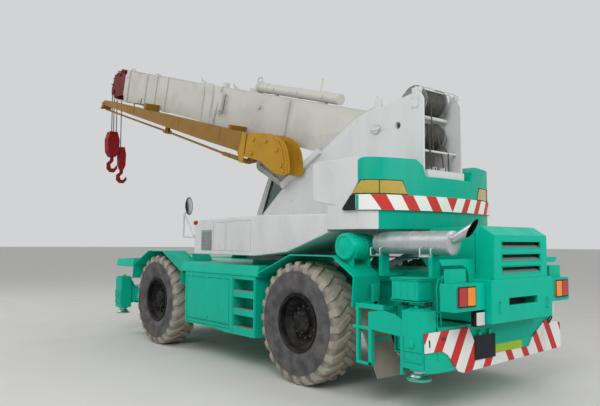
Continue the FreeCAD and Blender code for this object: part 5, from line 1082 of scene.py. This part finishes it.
# dull black rubber with grey dust
bumper_rubber = painted("black_bumper_rubber", "#26272B", "#6E6A63", "#3A3632", wear=0.5, gloss=0.55, low=1.5,
                        scale=3)
for side, word in SIDES:
    bm = bmesh.new()
    slab(bm, ((-955, 2060), (-755, 2060), (-738, 2072), (-742, 2090), (-868, 2226), (-884, 2233),
              (-955, 2233)),
         *flank(side, 1200.6, 1240))
    finished(f"bumper_end_{word}", bm, bumper_rubber, "superstructure", "flap_rubber", ease=12, segments=3)
# dull dark yellow with the same ribs
amber_panel = lamp_plastic("amber_acrylic_panel", "#BFA436", 0.0)
for side, word in SIDES:
    bm = bmesh.new()
    ends = (side * (706 if side > 0 else 622), side * 1392)
    wrapped(bm, ends, (-2, 7), 2246, 2390, (72, 130))
    finished(f"amber_panel_{word}", bm, amber_panel, "superstructure", "board_white", sharp=50, ease=2)
    bm = bmesh.new()
    wrapped(bm, (ends[0] - side * 9, ends[1] + side * 9), (-2, 4), 2238, 2399, (72, 130))
    for at in (ends[0] + side * 60, ends[0] + side * 300, ends[1] - side * 160, ends[1] - side * 400):
        for level in (2256, 2380):
            x, y = round_tail(at, 0)
            disc(bm, (x, y, level), "Y", side * -4, side * 10, 5, 8)
    seam = round_tail(ends[0] + side * 360, 7)
    block(bm, (seam[0] - 4, seam[0] + 4), (seam[1] - 3, seam[1] + 3), (2246, 2390))
    finished(f"panel_frame_{word}", bm, hose_rubber, "superstructure", "board_white", sharp=50)
# lifting sockets and casting seam on the weight
bm = bmesh.new()
for side in (1, -1):
    lathe(bm, ((2649, 0), (2649, 34), (2653, 34), (2653, 22), (2640, 22), (2640, 0)), (-1050, side * 800, 0),
          "Z", steps=32)
    disc(bm, (-1140, side * 700, 0), "Z", 2649, 2658, 14, 6)
finished("weight_sockets", bm, tail_green, "superstructure", "carrier_green")


# Rear and side housings
# Bent sheet boxes in white enamel cover tank, pumps and valves beside the turret plates: hinged doors with
# recessed latches, a louvred grey vent and a lamp. Bodies are the source's; seams, vents and latches are
# added.
for name, width, sharp in (("rear_housings", 16, 25), ("front_housing", 14, 20), ("right_housing", 14, 25)):
    eased(name, width, house_white, "superstructure", "house_white", sharp=sharp, segments=4)
# a soft grey shadow
seam_grey = painted("shadowed_white_seam", "#6F7272", "#5A5650", "#4B3A2C", wear=0.3, gloss=0.6, low=1.5)
# mid grey, matt
vent_grey = painted("grey_vent_enamel", "#9DA2A3", "#77736B", "#5A463A", wear=0.4, gloss=0.5, low=1.5,
                    scale=2)
bm = bmesh.new()
for x, z, y in (((1096, 1704), (1575, 2000), 1200), ((1740, 2060), (1575, 1990), 1200),
                ((-330, 250), (1700, 2000), -1200), ((420, 1380), (1640, 2010), -1200),
                ((-860, -330), (2440, 2600), -1200)):
    seam_round(bm, x, z, y)
for k in range(2):
    block(bm, (1009, 1011), (500, 1190), (2061.4 + 0.6 * k, 2062.6))
finished("housing_seams", bm, seam_grey, "superstructure", "house_white")
bm = bmesh.new()
slab(bm, ((2100, 1572), (2403, 1572), (2403, 1878), (2100, 1878)), 1198, 1202)
vent = drawn("vent_frame", bm, vent_grey, ease=2)
bm = bmesh.new()
slab(bm, ((1201, 1592), (1209, 1584), (1210.5, 1586), (1202.5, 1594)), 2118, 2386, "YZ")
louvres = grown(drawn("vent_louvres", bm, vent_grey), ALONG, Count=14, Step=(0.0, 0.0, 0.0205),
                Finish=vent_grey)
joined("housing_vent", [vent, louvres], "superstructure")
bm = bmesh.new()
for x, z, y in ((1400, 1640, 1), (1900, 1640, 1), (-40, 1760, -1), (900, 1700, -1), (-600, 2480, -1)):
    lathe(bm, ((y * 1199, 0), (y * 1199, 34), (y * 1203, 34), (y * 1203, 26), (y * 1200.5, 24),
               (y * 1200.5, 0)),
          (x, 0, z), "Y", steps=28)
    block(bm, (x - 20, x + 20), sorted((y * 1200.5, y * 1205)), (z - 6, z + 6))
for x0, x1, z, y in ((1160, 1240, 2000, 1), (1560, 1640, 2000, 1), (1780, 1850, 1990, 1),
                     (1960, 2030, 1990, 1), (-260, -180, 2000, -1), (120, 200, 2000, -1),
                     (500, 600, 2010, -1), (1200, 1300, 2010, -1)):
    pipe(bm, ((x0, y * 1203, z), (x1, y * 1203, z)), 6, sides=10)
finished("housing_latches", bm, house_white, "superstructure", "house_white", ease=0.8)


# Round mirror on its tube frame
# A convex glass in a black rim looks back along the left flank. It stands on a triangle of white tube that is
# bolted to the long housing's front corner, with a small red side lamp beside it.
bm = bmesh.new()
pipe(bm, ((2610, 1150, 1790), (2638, 1212, 1771), (2943, 1212, 1782), (2946, 1212, 1800), (2934, 1212, 2139),
          (2922, 1212, 2148), (2625, 1212, 1800), (2600, 1150, 1850)), 13, sides=12)
pipe(bm, ((2934, 1212, 2120), (2860, 1206, 2180), (2812, 1200, 2230)), 11, sides=12)
finished("mirror_frame", bm, house_white, "superstructure", "house_white", sharp=50)
bm = bmesh.new()
turned = Matrix.Translation((2806, 1200, 2264)) @ Matrix.Rotation(math.radians(40), 4, "Z")
lathe(bm, ((14, 0), (22, 50), (20, 110), (6, 136), (-6, 142), (-14, 138), (-14, 130), (-8, 128), (-8, 0)),
      (0, 0, 0), "X", steps=56)
bm.transform(turned)
finished("mirror_shell", bm, black_enamel, "superstructure", "house_white")
# a clear mirror
silvered = painted("silvered_mirror_glass", "#C3C8CB", "#8F8C86", "#77736E", wear=0.25, gloss=0.06, low=1.5,
                   metal=1.0)
bm = bmesh.new()
lathe(bm, ((-9, 128), (-12, 127), (-17, 90), (-20, 45), (-21, 0), (-9, 0)), (0, 0, 0), "X", steps=56)
bm.transform(turned)
finished("mirror_glass", bm, silvered, "superstructure", "house_white")
bm = bmesh.new()
block(bm, (2600, 2648), (1150, 1196), (1960, 2028))
lathe(bm, ((1196, 0), (1196, 17), (1208, 17), (1212, 12), (1212, 0)), (2626, 0, 1994), "Y", steps=28)
finished("side_lamp", bm, red_lens, "superstructure", "board_white", ease=3)


# Winches and wire rope
# Two cast drums lie across between the turret plates, wound with greased steel rope. The drums are the
# source's; the rope's turns, the motors' end covers and the ropes led over the tail platform are added.

# mid grey under dark patches of grease
drum_grey = painted("greased_cast_drum", "#8C8E8C", "#54504A", "#6B4A34", wear=0.9, gloss=0.4, low=3.2,
                    scale=3)
# dark and oily, with a low sheen
wire_rope = painted("greased_wire_rope", "#5C5954", "#38352F", "#5A4433", wear=0.8, gloss=0.45, low=3.2,
                    scale=6)
coat("winches", drum_grey)
# each drum's height and place, and the radius at which its top layer of rope lies
DRUMS = ((3440, -941, 158), (3030, -930, 142))
wound = []
for z, x, radius in DRUMS:
    bm = bmesh.new()
    hoop = [(x + radius * math.cos(a), -183, z + radius * math.sin(a)) for a in
            (2 * math.pi * k / 48 for k in range(49))]
    pipe(bm, hoop, 8.5, sides=8, closed=False)
    turns = drawn(f"rope_turns_{z}", bm, wire_rope, sharp=60)
    wound.append(grown(turns, ALONG, Count=22, Step=(0.0, 0.0174, 0.0), Finish=wire_rope))
joined("rope_turns", wound, "superstructure")
bm = bmesh.new()
for z, x, radius in DRUMS:
    for side in (1, -1):
        lathe(bm, ((side * 214, 70), (side * 214, 96), (side * 300, 96), (side * 312, 84), (side * 346, 84),
                   (side * 346, 40)), (x, 0, z), "Y", steps=40)
        for k in range(8):
            a = 2 * math.pi * k / 8
            disc(bm, (x + 150 * math.cos(a), 0, z + 150 * math.sin(a)), "Y", side * 210, side * 217, 9, 6)
finished("winch_motors", bm, drum_grey, "superstructure", "winch_steel")
bm = bmesh.new()
# taut falls from the drums over the guide rollers, and the two tubes behind them
for points in (((-1098, 90, 3440), (-1135, 90, 2700), (-1138, 90, 2560)),
               ((-1075, -70, 3030), (-1120, -110, 2700), (-1130, -110, 2560))):
    pipe(bm, points, 8, sides=8)
for y in (90, -110):
    lathe(bm, ((y - 16, 0), (y - 16, 30), (y - 8, 20), (y + 8, 20), (y + 16, 30), (y + 16, 0)),
          (-1126, 0, 2580), "Y", steps=32)
for points in (((-1140, 200, 3120), (-1150, 180, 2860), (-1150, 150, 2560)),
               ((-1060, -200, 2900), (-1140, -190, 2800), (-1150, -190, 2560))):
    pipe(bm, points, 9, sides=8)
finished("winch_lines", bm, wire_rope, "superstructure", "winch_steel", sharp=60)
bm = bmesh.new()
block(bm, (-1250, -1060), (-360, 360), (2551, 2556))
for y in (90, -110):
    for side in (1, -1):
        block(bm, (-1160, -1092), sorted((y + side * 18, y + side * 24)), (2556, 2612))
pipe(bm, ((-1000, -345, 3240), (-1000, 345, 3240)), 26, sides=24)
pipe(bm, ((-1130, -345, 2800), (-1130, 345, 2800)), 14, sides=16)
finished("tail_platform", bm, house_white, "superstructure", "house_white", ease=1.5)


# Operator's cab
# A narrow cab of folded sheet on the right side in white enamel, with tinted panes in black rubber, a sliding
# door, a wiper on the windscreen and a lamp on the roof. Shell, door and panes are the source's.
eased("cab_shell", 5, house_white, "superstructure", "house_white", sharp=25)
eased("cab_door", 4, house_white, "door", "house_white")
# clear grey-green glass with a thin film of dust
tinted_glass, tree, out = material("tinted_safety_glass")
coords = add(tree, "ShaderNodeTexCoord")
dusty = add(tree, "ShaderNodeTexNoise", {"Vector": coords.outputs["Object"], "Scale": 5.0, "Detail": 7})
film = add(tree, "ShaderNodeMapRange", {"Value": dusty.outputs["Fac"], "From Min": 0.45, "From Max": 0.8,
                                        "To Min": 0.03, "To Max": 0.22})
shader = add(tree, "ShaderNodeBsdfPrincipled", {
    "Base Color": linear("#8FA09C"), "Roughness": film.outputs[0], "Transmission Weight": 0.92, "IOR": 1.5})
tree.links.new(shader.outputs[0], out.inputs["Surface"])
coat("cab_glass", tinted_glass)
# dull black rubber
cab_rubber = painted("black_glazing_rubber", "#1B1C1E", "#54504A", "#2E2A26", wear=0.3, gloss=0.6, low=1.5,
                     scale=4)
bm = bmesh.new()
# corners of each pane, round which a rubber strip runs: left, right, rear, roof and windscreen
for pane, radius in ((((1640, -448, 2120), (3120, -448, 2120), (2765, -448, 2870), (1640, -448, 2870)), 9),
                     (((2780, -1252, 2120), (3120, -1252, 2120), (2790, -1252, 2820)), 9),
                     (((1448, -1150, 2200), (1448, -550, 2200), (1448, -550, 2850), (1448, -1150, 2850)), 9),
                     (((1750, -1100, 3042), (2600, -1100, 3042), (2600, -600, 3042), (1750, -600, 3042)), 9),
                     (((3244, -1190, 2236), (3244, -510, 2236), (2868, -510, 2944), (2868, -1190, 2944)),
                      10)):
    pipe(bm, pane + pane[:1], radius, sides=8)
finished("glazing_rubber", bm, cab_rubber, "superstructure", "seat_trim", sharp=60)
bm = bmesh.new()
slab(bm, ((1980, 2120), (2650, 2120), (2650, 2840), (1980, 2840)), -1274, -1268)
finished("door_pane", bm, tinted_glass, "door", "pane")
bm = bmesh.new()
pipe(bm, ((1980, -1289, 2120), (2650, -1289, 2120), (2650, -1289, 2840), (1980, -1289, 2840),
          (1980, -1289, 2120)), 9,
     sides=8)
pipe(bm, ((2690, -1290, 1980), (2690, -1312, 1985), (2690, -1312, 2135), (2690, -1290, 2140)), 8, sides=10)
finished("door_fittings", bm, cab_rubber, "door", "seat_trim", sharp=60)
bm = bmesh.new()
# wiper with its pivot, roof lamp, grab rail and the mirror beside the door
disc(bm, (3262, 0, 2214), "Y", -870, -840, 16, 20)
pipe(bm, ((3268, -855, 2222), (3160, -840, 2452), (3120, -835, 2520)), 6, sides=8)
pipe(bm, ((3190, -846, 2396), (3020, -832, 2716)), 8, sides=8)
pipe(bm, ((3230, -1262, 1700), (3250, -1286, 1720), (3250, -1286, 2320), (3210, -1262, 2340)), 11, sides=12)
lathe(bm, ((3036, 0), (3036, 46), (3052, 52), (3070, 46), (3078, 30), (3078, 0)), (1580, -850, 0), "Z",
      steps=32)
finished("cab_fittings", bm, cab_rubber, "superstructure", "seat_trim", sharp=50)


# Operator's seat and controls
# A sprung seat with moulded foam cushions under black vinyl, sewn in three channels; beside it stand the
# lever console and in front the pedal stand. Console, pedestal and frame are folded steel in dark grey.

# black with a fine grain and a low sheen
seat_vinyl, tree, out = material("black_sewn_vinyl")
coords = add(tree, "ShaderNodeTexCoord")
# leather grain of 5 mm, coarser than the real 1 mm so that it shows
grain = add(tree, "ShaderNodeTexVoronoi", {"Vector": coords.outputs["Object"], "Scale": 200.0})
bump = add(tree, "ShaderNodeBump", {"Height": grain.outputs["Distance"], "Strength": 0.25, "Distance": 0.001})
worn = add(tree, "ShaderNodeTexNoise", {"Vector": coords.outputs["Object"], "Scale": 6.0, "Detail": 6})
tint = add(tree, "ShaderNodeMix", {0: worn.outputs["Fac"], 6: linear("#222326"), 7: linear("#3C3B3A")},
           data_type="RGBA")
shader = add(tree, "ShaderNodeBsdfPrincipled", {
    "Base Color": tint.outputs[2], "Roughness": 0.5, "Normal": bump.outputs[0], "Sheen Weight": 0.1})
tree.links.new(shader.outputs[0], out.inputs["Surface"])


def cushion(name, wide, deep, thick, place, lean):
    """A crowned pad: its sides pull in between the corners and three sewn channels run across it."""
    bm = bmesh.new()
    rows, layers = 24, 24
    grid = {}
    for top in (0, 1):
        for i in range(rows + 1):
            for j in range(layers + 1):
                u, v = 2 * i / rows - 1, 2 * j / layers - 1
                edge = (1 - u ** 6) * (1 - v ** 6)
                x = u * (deep / 2 - 7 * (1 - v * v))
                y = v * (wide / 2 - 9 * (1 - u * u))
                crown = edge ** 0.45
                sewn = sum(math.exp(-((v - at) / 0.035) ** 2) for at in (-0.5, 0.0, 0.5))
                z = (thick * (0.5 + 0.5 * crown) + 9 * crown * (1 - u * u) - 11 * sewn * crown if top
                     else thick * (0.5 - 0.5 * crown))
                if top == 0 and crown == 0:
                    grid[top, i, j] = grid[1, i, j] if (1, i, j) in grid else bm.verts.new((x, y, z))
                else:
                    grid[top, i, j] = grid[0, i, j] if top and crown == 0 else bm.verts.new((x, y, z))
    for top in (0, 1):
        for i in range(rows):
            for j in range(layers):
                corners = [grid[top, i, j], grid[top, i + 1, j], grid[top, i + 1, j + 1], grid[top, i, j + 1]]
                bm.faces.new(corners)
    bm.transform(Matrix.Translation(place) @ Matrix.Rotation(math.radians(lean), 4, "Y"))
    made = finished(name, bm, seat_vinyl, "superstructure", "seat_trim", sharp=80)
    smooth = made.modifiers.new("Soft", "SUBSURF")
    smooth.levels = smooth.render_levels = 1


cushion("seat_squab", 480, 500, 100, (2060, -850, 1965), 0)
cushion("seat_back", 470, 610, 90, (1816, -850, 2380), -80)
bm = bmesh.new()
block(bm, (1905, 2195), (-995, -705), (1624, 1700))
block(bm, (1800, 2300), (-1090, -610), (1945, 1962))
for level in range(5):
    lathe(bm, ((1700 + 48 * level, 150), (1724 + 48 * level, 170), (1748 + 48 * level, 150)), (2050, -850, 0),
          "Z", steps=40)
slab(bm, ((1742, 1950), (1790, 1950), (1758, 2660), (1726, 2655)), -1080, -620)
block(bm, (2105, 2595), (-588, -502), (1624, 2110))
block(bm, (2855, 2945), (-948, -752), (1624, 2110))
slab(bm, ((2820, 2100), (2955, 2120), (2945, 2160), (2815, 2140)), -990, -710)
for x in (2200, 2330, 2460):
    pipe(bm, ((x, -545, 2108), (x + 10, -545, 2230)), 6, sides=10)
    lathe(bm, ((2225, 0), (2228, 14), (2246, 19), (2262, 14), (2266, 0)), (x + 10, -545, 0), "Z", steps=20)
for y in (-900, -800):
    slab(bm, ((2700, 1640), (2840, 1740), (2830, 1752), (2690, 1652)), y - 30, y + 30)
finished("seat_frame_and_console", bm, cast_paint, "superstructure", "seat_trim", "cab_seat", ease=3)


# Telescopic boom
# Four box sections of welded plate in white enamel slide within each other on wear pads; ribs, collars and a
# flared side plate stiffen the outer one. The sections are the source's; lugs, brackets and seams are added.
BOOM = MACHINE @ Matrix.Translation((-480, 0, 3130)) @ Matrix.Rotation(math.radians(-16.15), 4, "Y")
# warm white, greyer than the house: partly soil, partly painted shade, as the boom lies in shade
boom_white = painted("shaded_white_boom_enamel", "#CCCAC3", "#8F897C", "#7A5A44", wear=0.45, gloss=0.32, low=2.8,
                     scale=0.9)
eased("boom_base", 7, boom_white, "boom", "boom_white")
for level in (2, 3, 4):
    eased(f"boom_section_{level}", 5, boom_white, f"boom_section_{level}", "boom_white")
bm = bmesh.new()
for side in (1, -1):
    y = side * 330
    for n in (204, -472):
        pipe(bm, ((60, y, n), (7950, y, n)), 4, sides=6)
    # flared plate with its turned-out top, the box bracket before it, a boss on the top edge and the loop at
    # the mouth
    slab(bm, ((4000, -478), (4560, -478), (4475, -300), (4500, 60), (4640, 240), (4700, 330), (4610, 280),
              (4420, 225), (4200, 235), (4140, 60), (4120, -300)), *flank(side, 352, 360))
    for s in (4165, 4475):
        pipe(bm, ((s - 20, side * 356, -470), (s, side * 366, -280), (s, side * 366, 40),
                  (s + 50, side * 358, 232)), 13,
             sides=10)
    block(bm, (3765, 3880), flank(side, 352, 404), (-232, 100))
    disc(bm, (3780, 0, -200), "Y", side * 404, side * 430, 26)
    block(bm, (3820, 3930), flank(side, 250, 326), (204, 286))
    pipe(bm, ((7800, side * 300, 200), (7800, side * 300, 268), (7960, side * 300, 268),
              (7960, side * 300, 228)), 12,
         sides=10)
    lathe(bm, ((side * 352, 0), (side * 352, 30), (side * 366, 26), (side * 366, 0)), (2693, 0, -18), "Y",
          steps=28)
    lathe(bm, ((side * 344, 0), (side * 344, 34), (side * 368, 34), (side * 368, 22), (side * 376, 0)),
          (7284, 0, -386), "Y", steps=28)
    block(bm, (7180, 7330), flank(side, 346, 356), (-440, -330))
    # pad adjusters at the collar
    for s in (7985, 8065):
        for n in (60, -330):
            disc(bm, (s, 0, n), "Y", side * 355, side * 366, 15, 6)
pipe(bm, ((1390, 230, 200), (1395, 230, 560)), 8, sides=10)
block(bm, (1360, 1420), (200, 260), (203, 216))
finished("boom_fittings", bm, boom_white, "boom", "boom_white", sharp=40, frame_at=BOOM)
# yellowed nylon with dark grease
wear_pad = painted("greased_nylon_pad", "#B9B19A", "#4A443A", "#3A3026", wear=0.9, gloss=0.35, low=4.0,
                   scale=5)
for level, s, half, body in ((1, 8102, 292, "boom"), (2, 8232, 252, "boom_section_2"),
                             (3, 8362, 212, "boom_section_3")):
    bm = bmesh.new()
    for side in (1, -1):
        for low, high in ((-437 + 40 * level, -421 + 40 * level), (211 - 40 * level, 222 - 40 * level)):
            block(bm, (s - 3, s + 8), flank(side, half - 60, half + 24), (low, high))
    finished(f"pad_covers_{level}", bm, wear_pad, body, "boom_white", frame_at=BOOM, ease=1)


# Top tube
# A round case on the boom's back holds the erecting gear; its domed cap has a bail handle. It is rolled sheet
# in white enamel on two saddles; tube and feet are the source's, and straps, bolts and handle are added.
eased("top_tube", 3, boom_white, "boom", "boom_white", sharp=25)
bm = bmesh.new()
axis = (0, 190, 303)
lathe(bm, ((2975, 95), (2984, 93), (3012, 78), (3030, 50), (3036, 0)), axis, "X", steps=48)
for s in (1300, 1900, 2500):
    band(bm, axis, "X", s - 20, s + 20, 78, 83, 48)
    for side in (1, -1):
        block(bm, (s - 14, s + 14), sorted((190 + side * 80, 190 + side * 98)), (288, 318))
pipe(bm, ((2960, 190, 396), (2960, 190, 452), (2990, 190, 470), (3070, 190, 440), (3076, 190, 380),
          (3020, 190, 350)), 9,
     sides=10)
finished("tube_fittings", bm, boom_white, "boom", "boom_white", sharp=40, frame_at=BOOM)


# Stowed jib
# A tapering box jib in ochre enamel hangs under the boom's left flank on two brackets, with its pivot fork,
# stay rod and tensioning bar. The box stands for the source's and is slimmer; fork plates, rod and clamps are
# added.

# brown ochre with worn patches, darker than the fork's plates as painted shade, for the jib hangs in shade
jib_ochre = painted("shaded_ochre_jib_enamel", "#946E2E", "#6E5738", "#5A3B26", wear=0.55, gloss=0.36, low=2.6,
                    scale=1.2)
# the same paint, lighter and more yellow: its lit copy, for the fork's plates stand in the light
fork_yellow = painted("lit_yellow_fork_enamel", "#BC8E2C", "#7A6038", "#5A3B26", wear=0.5, gloss=0.32, low=2.2,
                      scale=2)
bm = bmesh.new()
slab(bm, ((2350, -445), (2350, -790), (2650, -752), (3830, -744), (5240, -719), (6706, -690), (8460, -652),
          (8534, -745), (8545, -700), (8399, -544), (2650, -445)), 450, 680)
for s, high, low in ((3000, -380, -470), (6300, -380, -520)):
    block(bm, (s - 40, s + 40), (320, 640), (low, high))
for s in (3200, 4700, 7600):
    pipe(bm, ((s, 681, -470), (s, 681, -700)), 4, sides=6)
finished("jib_box", bm, jib_ochre, "boom", "jib_yellow", "jib", frame_at=BOOM, ease=5)
bm = bmesh.new()
# curved guard plates of the fork, one at each flank of the box, joined by three webs
for y0, y1 in ((684, 698), (432, 446)):
    slab(bm, ((2360, -424), (2360, -800), (1900, -790), (1760, -840), (1520, -900), (1300, -884),
              (1190, -820), (1230, -680), (1330, -520), (1440, -420), (1600, -372), (1780, -360),
              (2060, -385)), y0, y1)
    for k, reach in enumerate((0, 70)):
        pipe(bm, [(s + reach, y0 + (y1 - y0) / 2 + (1 if y0 > 500 else -1) * 12, n) for s, n in (
            (1240, -850), (1290, -690), (1380, -540), (1500, -430), (1650, -392))], 13, sides=8)
for s0, s1, n0, n1 in ((1700, 1730, -780, -420), (2000, 2030, -770, -420), (2300, 2330, -780, -440)):
    block(bm, (s0, s1), (440, 690), (n0, n1))
for s, n in ((1400, -760), (1560, -560), (1860, -480), (2180, -500), (2180, -720)):
    lathe(bm, ((700, 0), (700, 30), (716, 30), (716, 16), (724, 0)), (s, 0, n), "Y", steps=24)
slab(bm, ((2420, -440), (2520, -440), (2560, -760), (2500, -905), (2380, -905), (2400, -700)), 682, 694)
finished("jib_fork_plates", bm, fork_yellow, "boom", "jib_yellow", frame_at=BOOM, ease=2)
bm = bmesh.new()
# stay rod below the box with its clamp, and the drilled bar that it hooks into
pipe(bm, ((8500, 565, -752), (6940, 565, -786), (5290, 565, -815), (3120, 565, -876)), 19, sides=12)
block(bm, (5190, 5390), (520, 610), (-850, -790))
block(bm, (5240, 5340), (536, 594), (-800, -710))
disc(bm, (5290, 0, -815), "Y", 500, 630, 34)
slab(bm, ((3180, -848), (3160, -905), (2420, -915), (2250, -860), (2200, -770), (2330, -780), (2450, -848)),
     530, 600)
for s in (2420, 2680, 2940):
    disc(bm, (s, 0, -880), "Y", 520, 610, 20, 20)
for y in (447, 683):
    block(bm, (6698, 6742), (y - 4, y + 4), (-660, -430))
block(bm, (6698, 6742), (443, 687), (-450, -430))
pipe(bm, ((8530, 460, -745), (8580, 460, -745), (8580, 670, -745), (8530, 670, -745)), 14, sides=12)
for y in (440, 678):
    disc(bm, (8450, 0, -640), "Y", y, y + 12, 60, 28)
finished("jib_stay_rod", bm, jib_ochre, "boom", "jib_yellow", frame_at=BOOM, ease=2)


# Boom head
# Two thick cheeks under dark red enamel carry cast sheaves on greased pins. The cheeks are the source's; pin
# keepers, rope guards and the white foot frame below the head are added.

# dark red, dull and soiled
head_red = painted("dark_red_head_enamel", "#66141A", "#4A3A34", "#3A2A22", wear=0.6, gloss=0.38, low=4.5,
                   scale=2)
eased("boom_head", 3, head_red, "boom_section_4", "signal_red")
bm = bmesh.new()
for s, n, radius in ((9210, -330, 60), (8950, 90, 46)):
    for side in (1, -1):
        lathe(bm, ((side * 172, 0), (side * 172, radius), (side * 186, radius), (side * 192, radius - 8),
                   (side * 192, 0)),
              (s, 0, n), "Y", steps=36)
        block(bm, (s - radius - 30, s + radius + 30), flank(side, 190, 197), (n - 14, n + 14))
for s, n in ((9400, -180), (9330, -30), (9090, 170), (8820, 180)):
    pipe(bm, ((s, -176, n), (s, 176, n)), 11, sides=12)
finished("head_pins", bm, head_red, "boom_section_4", "signal_red", frame_at=BOOM, ease=1.5)
bm = bmesh.new()
for side in (1, -1):
    pipe(bm, ((8420, side * 186, -360), (8420, side * 186, -502), (9060, side * 186, -506),
              (9180, side * 186, -430)), 13,
         sides=10)
for s, n in ((8420, -502), (9060, -506)):
    pipe(bm, ((s, -186, n), (s, 186, n)), 13, sides=10)
finished("head_foot_frame", bm, boom_white, "boom_section_4", "boom_white", frame_at=BOOM, sharp=50)


# Luffing cylinder
# A double-acting cylinder under the boom: a white barrel with a screwed gland and two oil ports, and a hard
# chromed rod with a forged eye. Barrel and rod are the source's; gland, ports, pipe and straps are added.
eased("luff_barrel", 3, boom_white, "luff_barrel", "boom_white", sharp=25)
coat("luff_rod", chrome_rod)
BARREL = MACHINE @ Matrix.Translation((450, 0, 1950)) @ Matrix.Rotation(math.radians(-28.366), 4, "Y")
bm = bmesh.new()
for along in (2190, 2215, 2240):
    band(bm, (0, 0, 0), "X", along - 8, along + 8, 150, 157, 48)
lathe(bm, ((2250, 150), (2262, 146), (2268, 120), (2268, 78), (2250, 78)), (0, 0, 0), "X", steps=48)
for along in (260, 2120):
    lathe(bm, ((150, 20), (150, 26), (192, 26), (192, 0)), (along, 0, 0), "Y", steps=6)
pipe(bm, ((260, 186, 0), (330, 186, 0), (2050, 186, 0), (2120, 186, 0)), 11, sides=12)
for along in (700, 1200, 1700):
    block(bm, (along - 18, along + 18), (140, 200), (-16, 16))
finished("cylinder_fittings", bm, boom_white, "luff_barrel", "boom_white", frame_at=BARREL, sharp=40)


# Hook blocks
# Two forged hooks hang from sheave blocks of cut plate under bright red enamel, on falls of steel rope. The
# blocks and falls are the source's; round covers with their bolts are added.

# bright red with a soft gloss
hook_red = painted("red_hook_enamel", "#8C171B", "#5A3A34", "#3A2A22", wear=0.55, gloss=0.33, low=3.4,
                   scale=3)
# height of each block's top, above which the falls of rope begin
MAIN_TOP, SPARE_TOP = 4399, 4045
blocks = eased("hooks", 3, [hook_red, wire_rope], "hooks", "signal_red", sharp=25)
for face in blocks.data.polygons:
    centre = MACHINE.inverted() @ face.center
    if centre.z > 3 + (MAIN_TOP if centre.y > 0 else SPARE_TOP):
        face.material_index = 1
bm = bmesh.new()
for y, top, wide, thick in ((100, MAIN_TOP, 150, 110), (-150, SPARE_TOP, 90, 70)):
    for side in (1, -1):
        face = 8660 + side * thick
        lathe(bm, ((face, 0), (face, wide * 0.5), (face + side * 8, wide * 0.5),
                   (face + side * 14, wide * 0.3), (face + side * 14, 0)), (0, y, top - wide * 1.1), "X",
                   steps=36)
        for k in range(4):
            a = math.pi * (0.25 + 0.5 * k)
            disc(bm, (0, y + wide * 0.78 * math.cos(a), top - wide * 1.1 + wide * 0.78 * math.sin(a)), "X",
                 face, face + side * 9, 9, 6)
finished("block_covers", bm, hook_red, "hooks", "signal_red", ease=1.5)
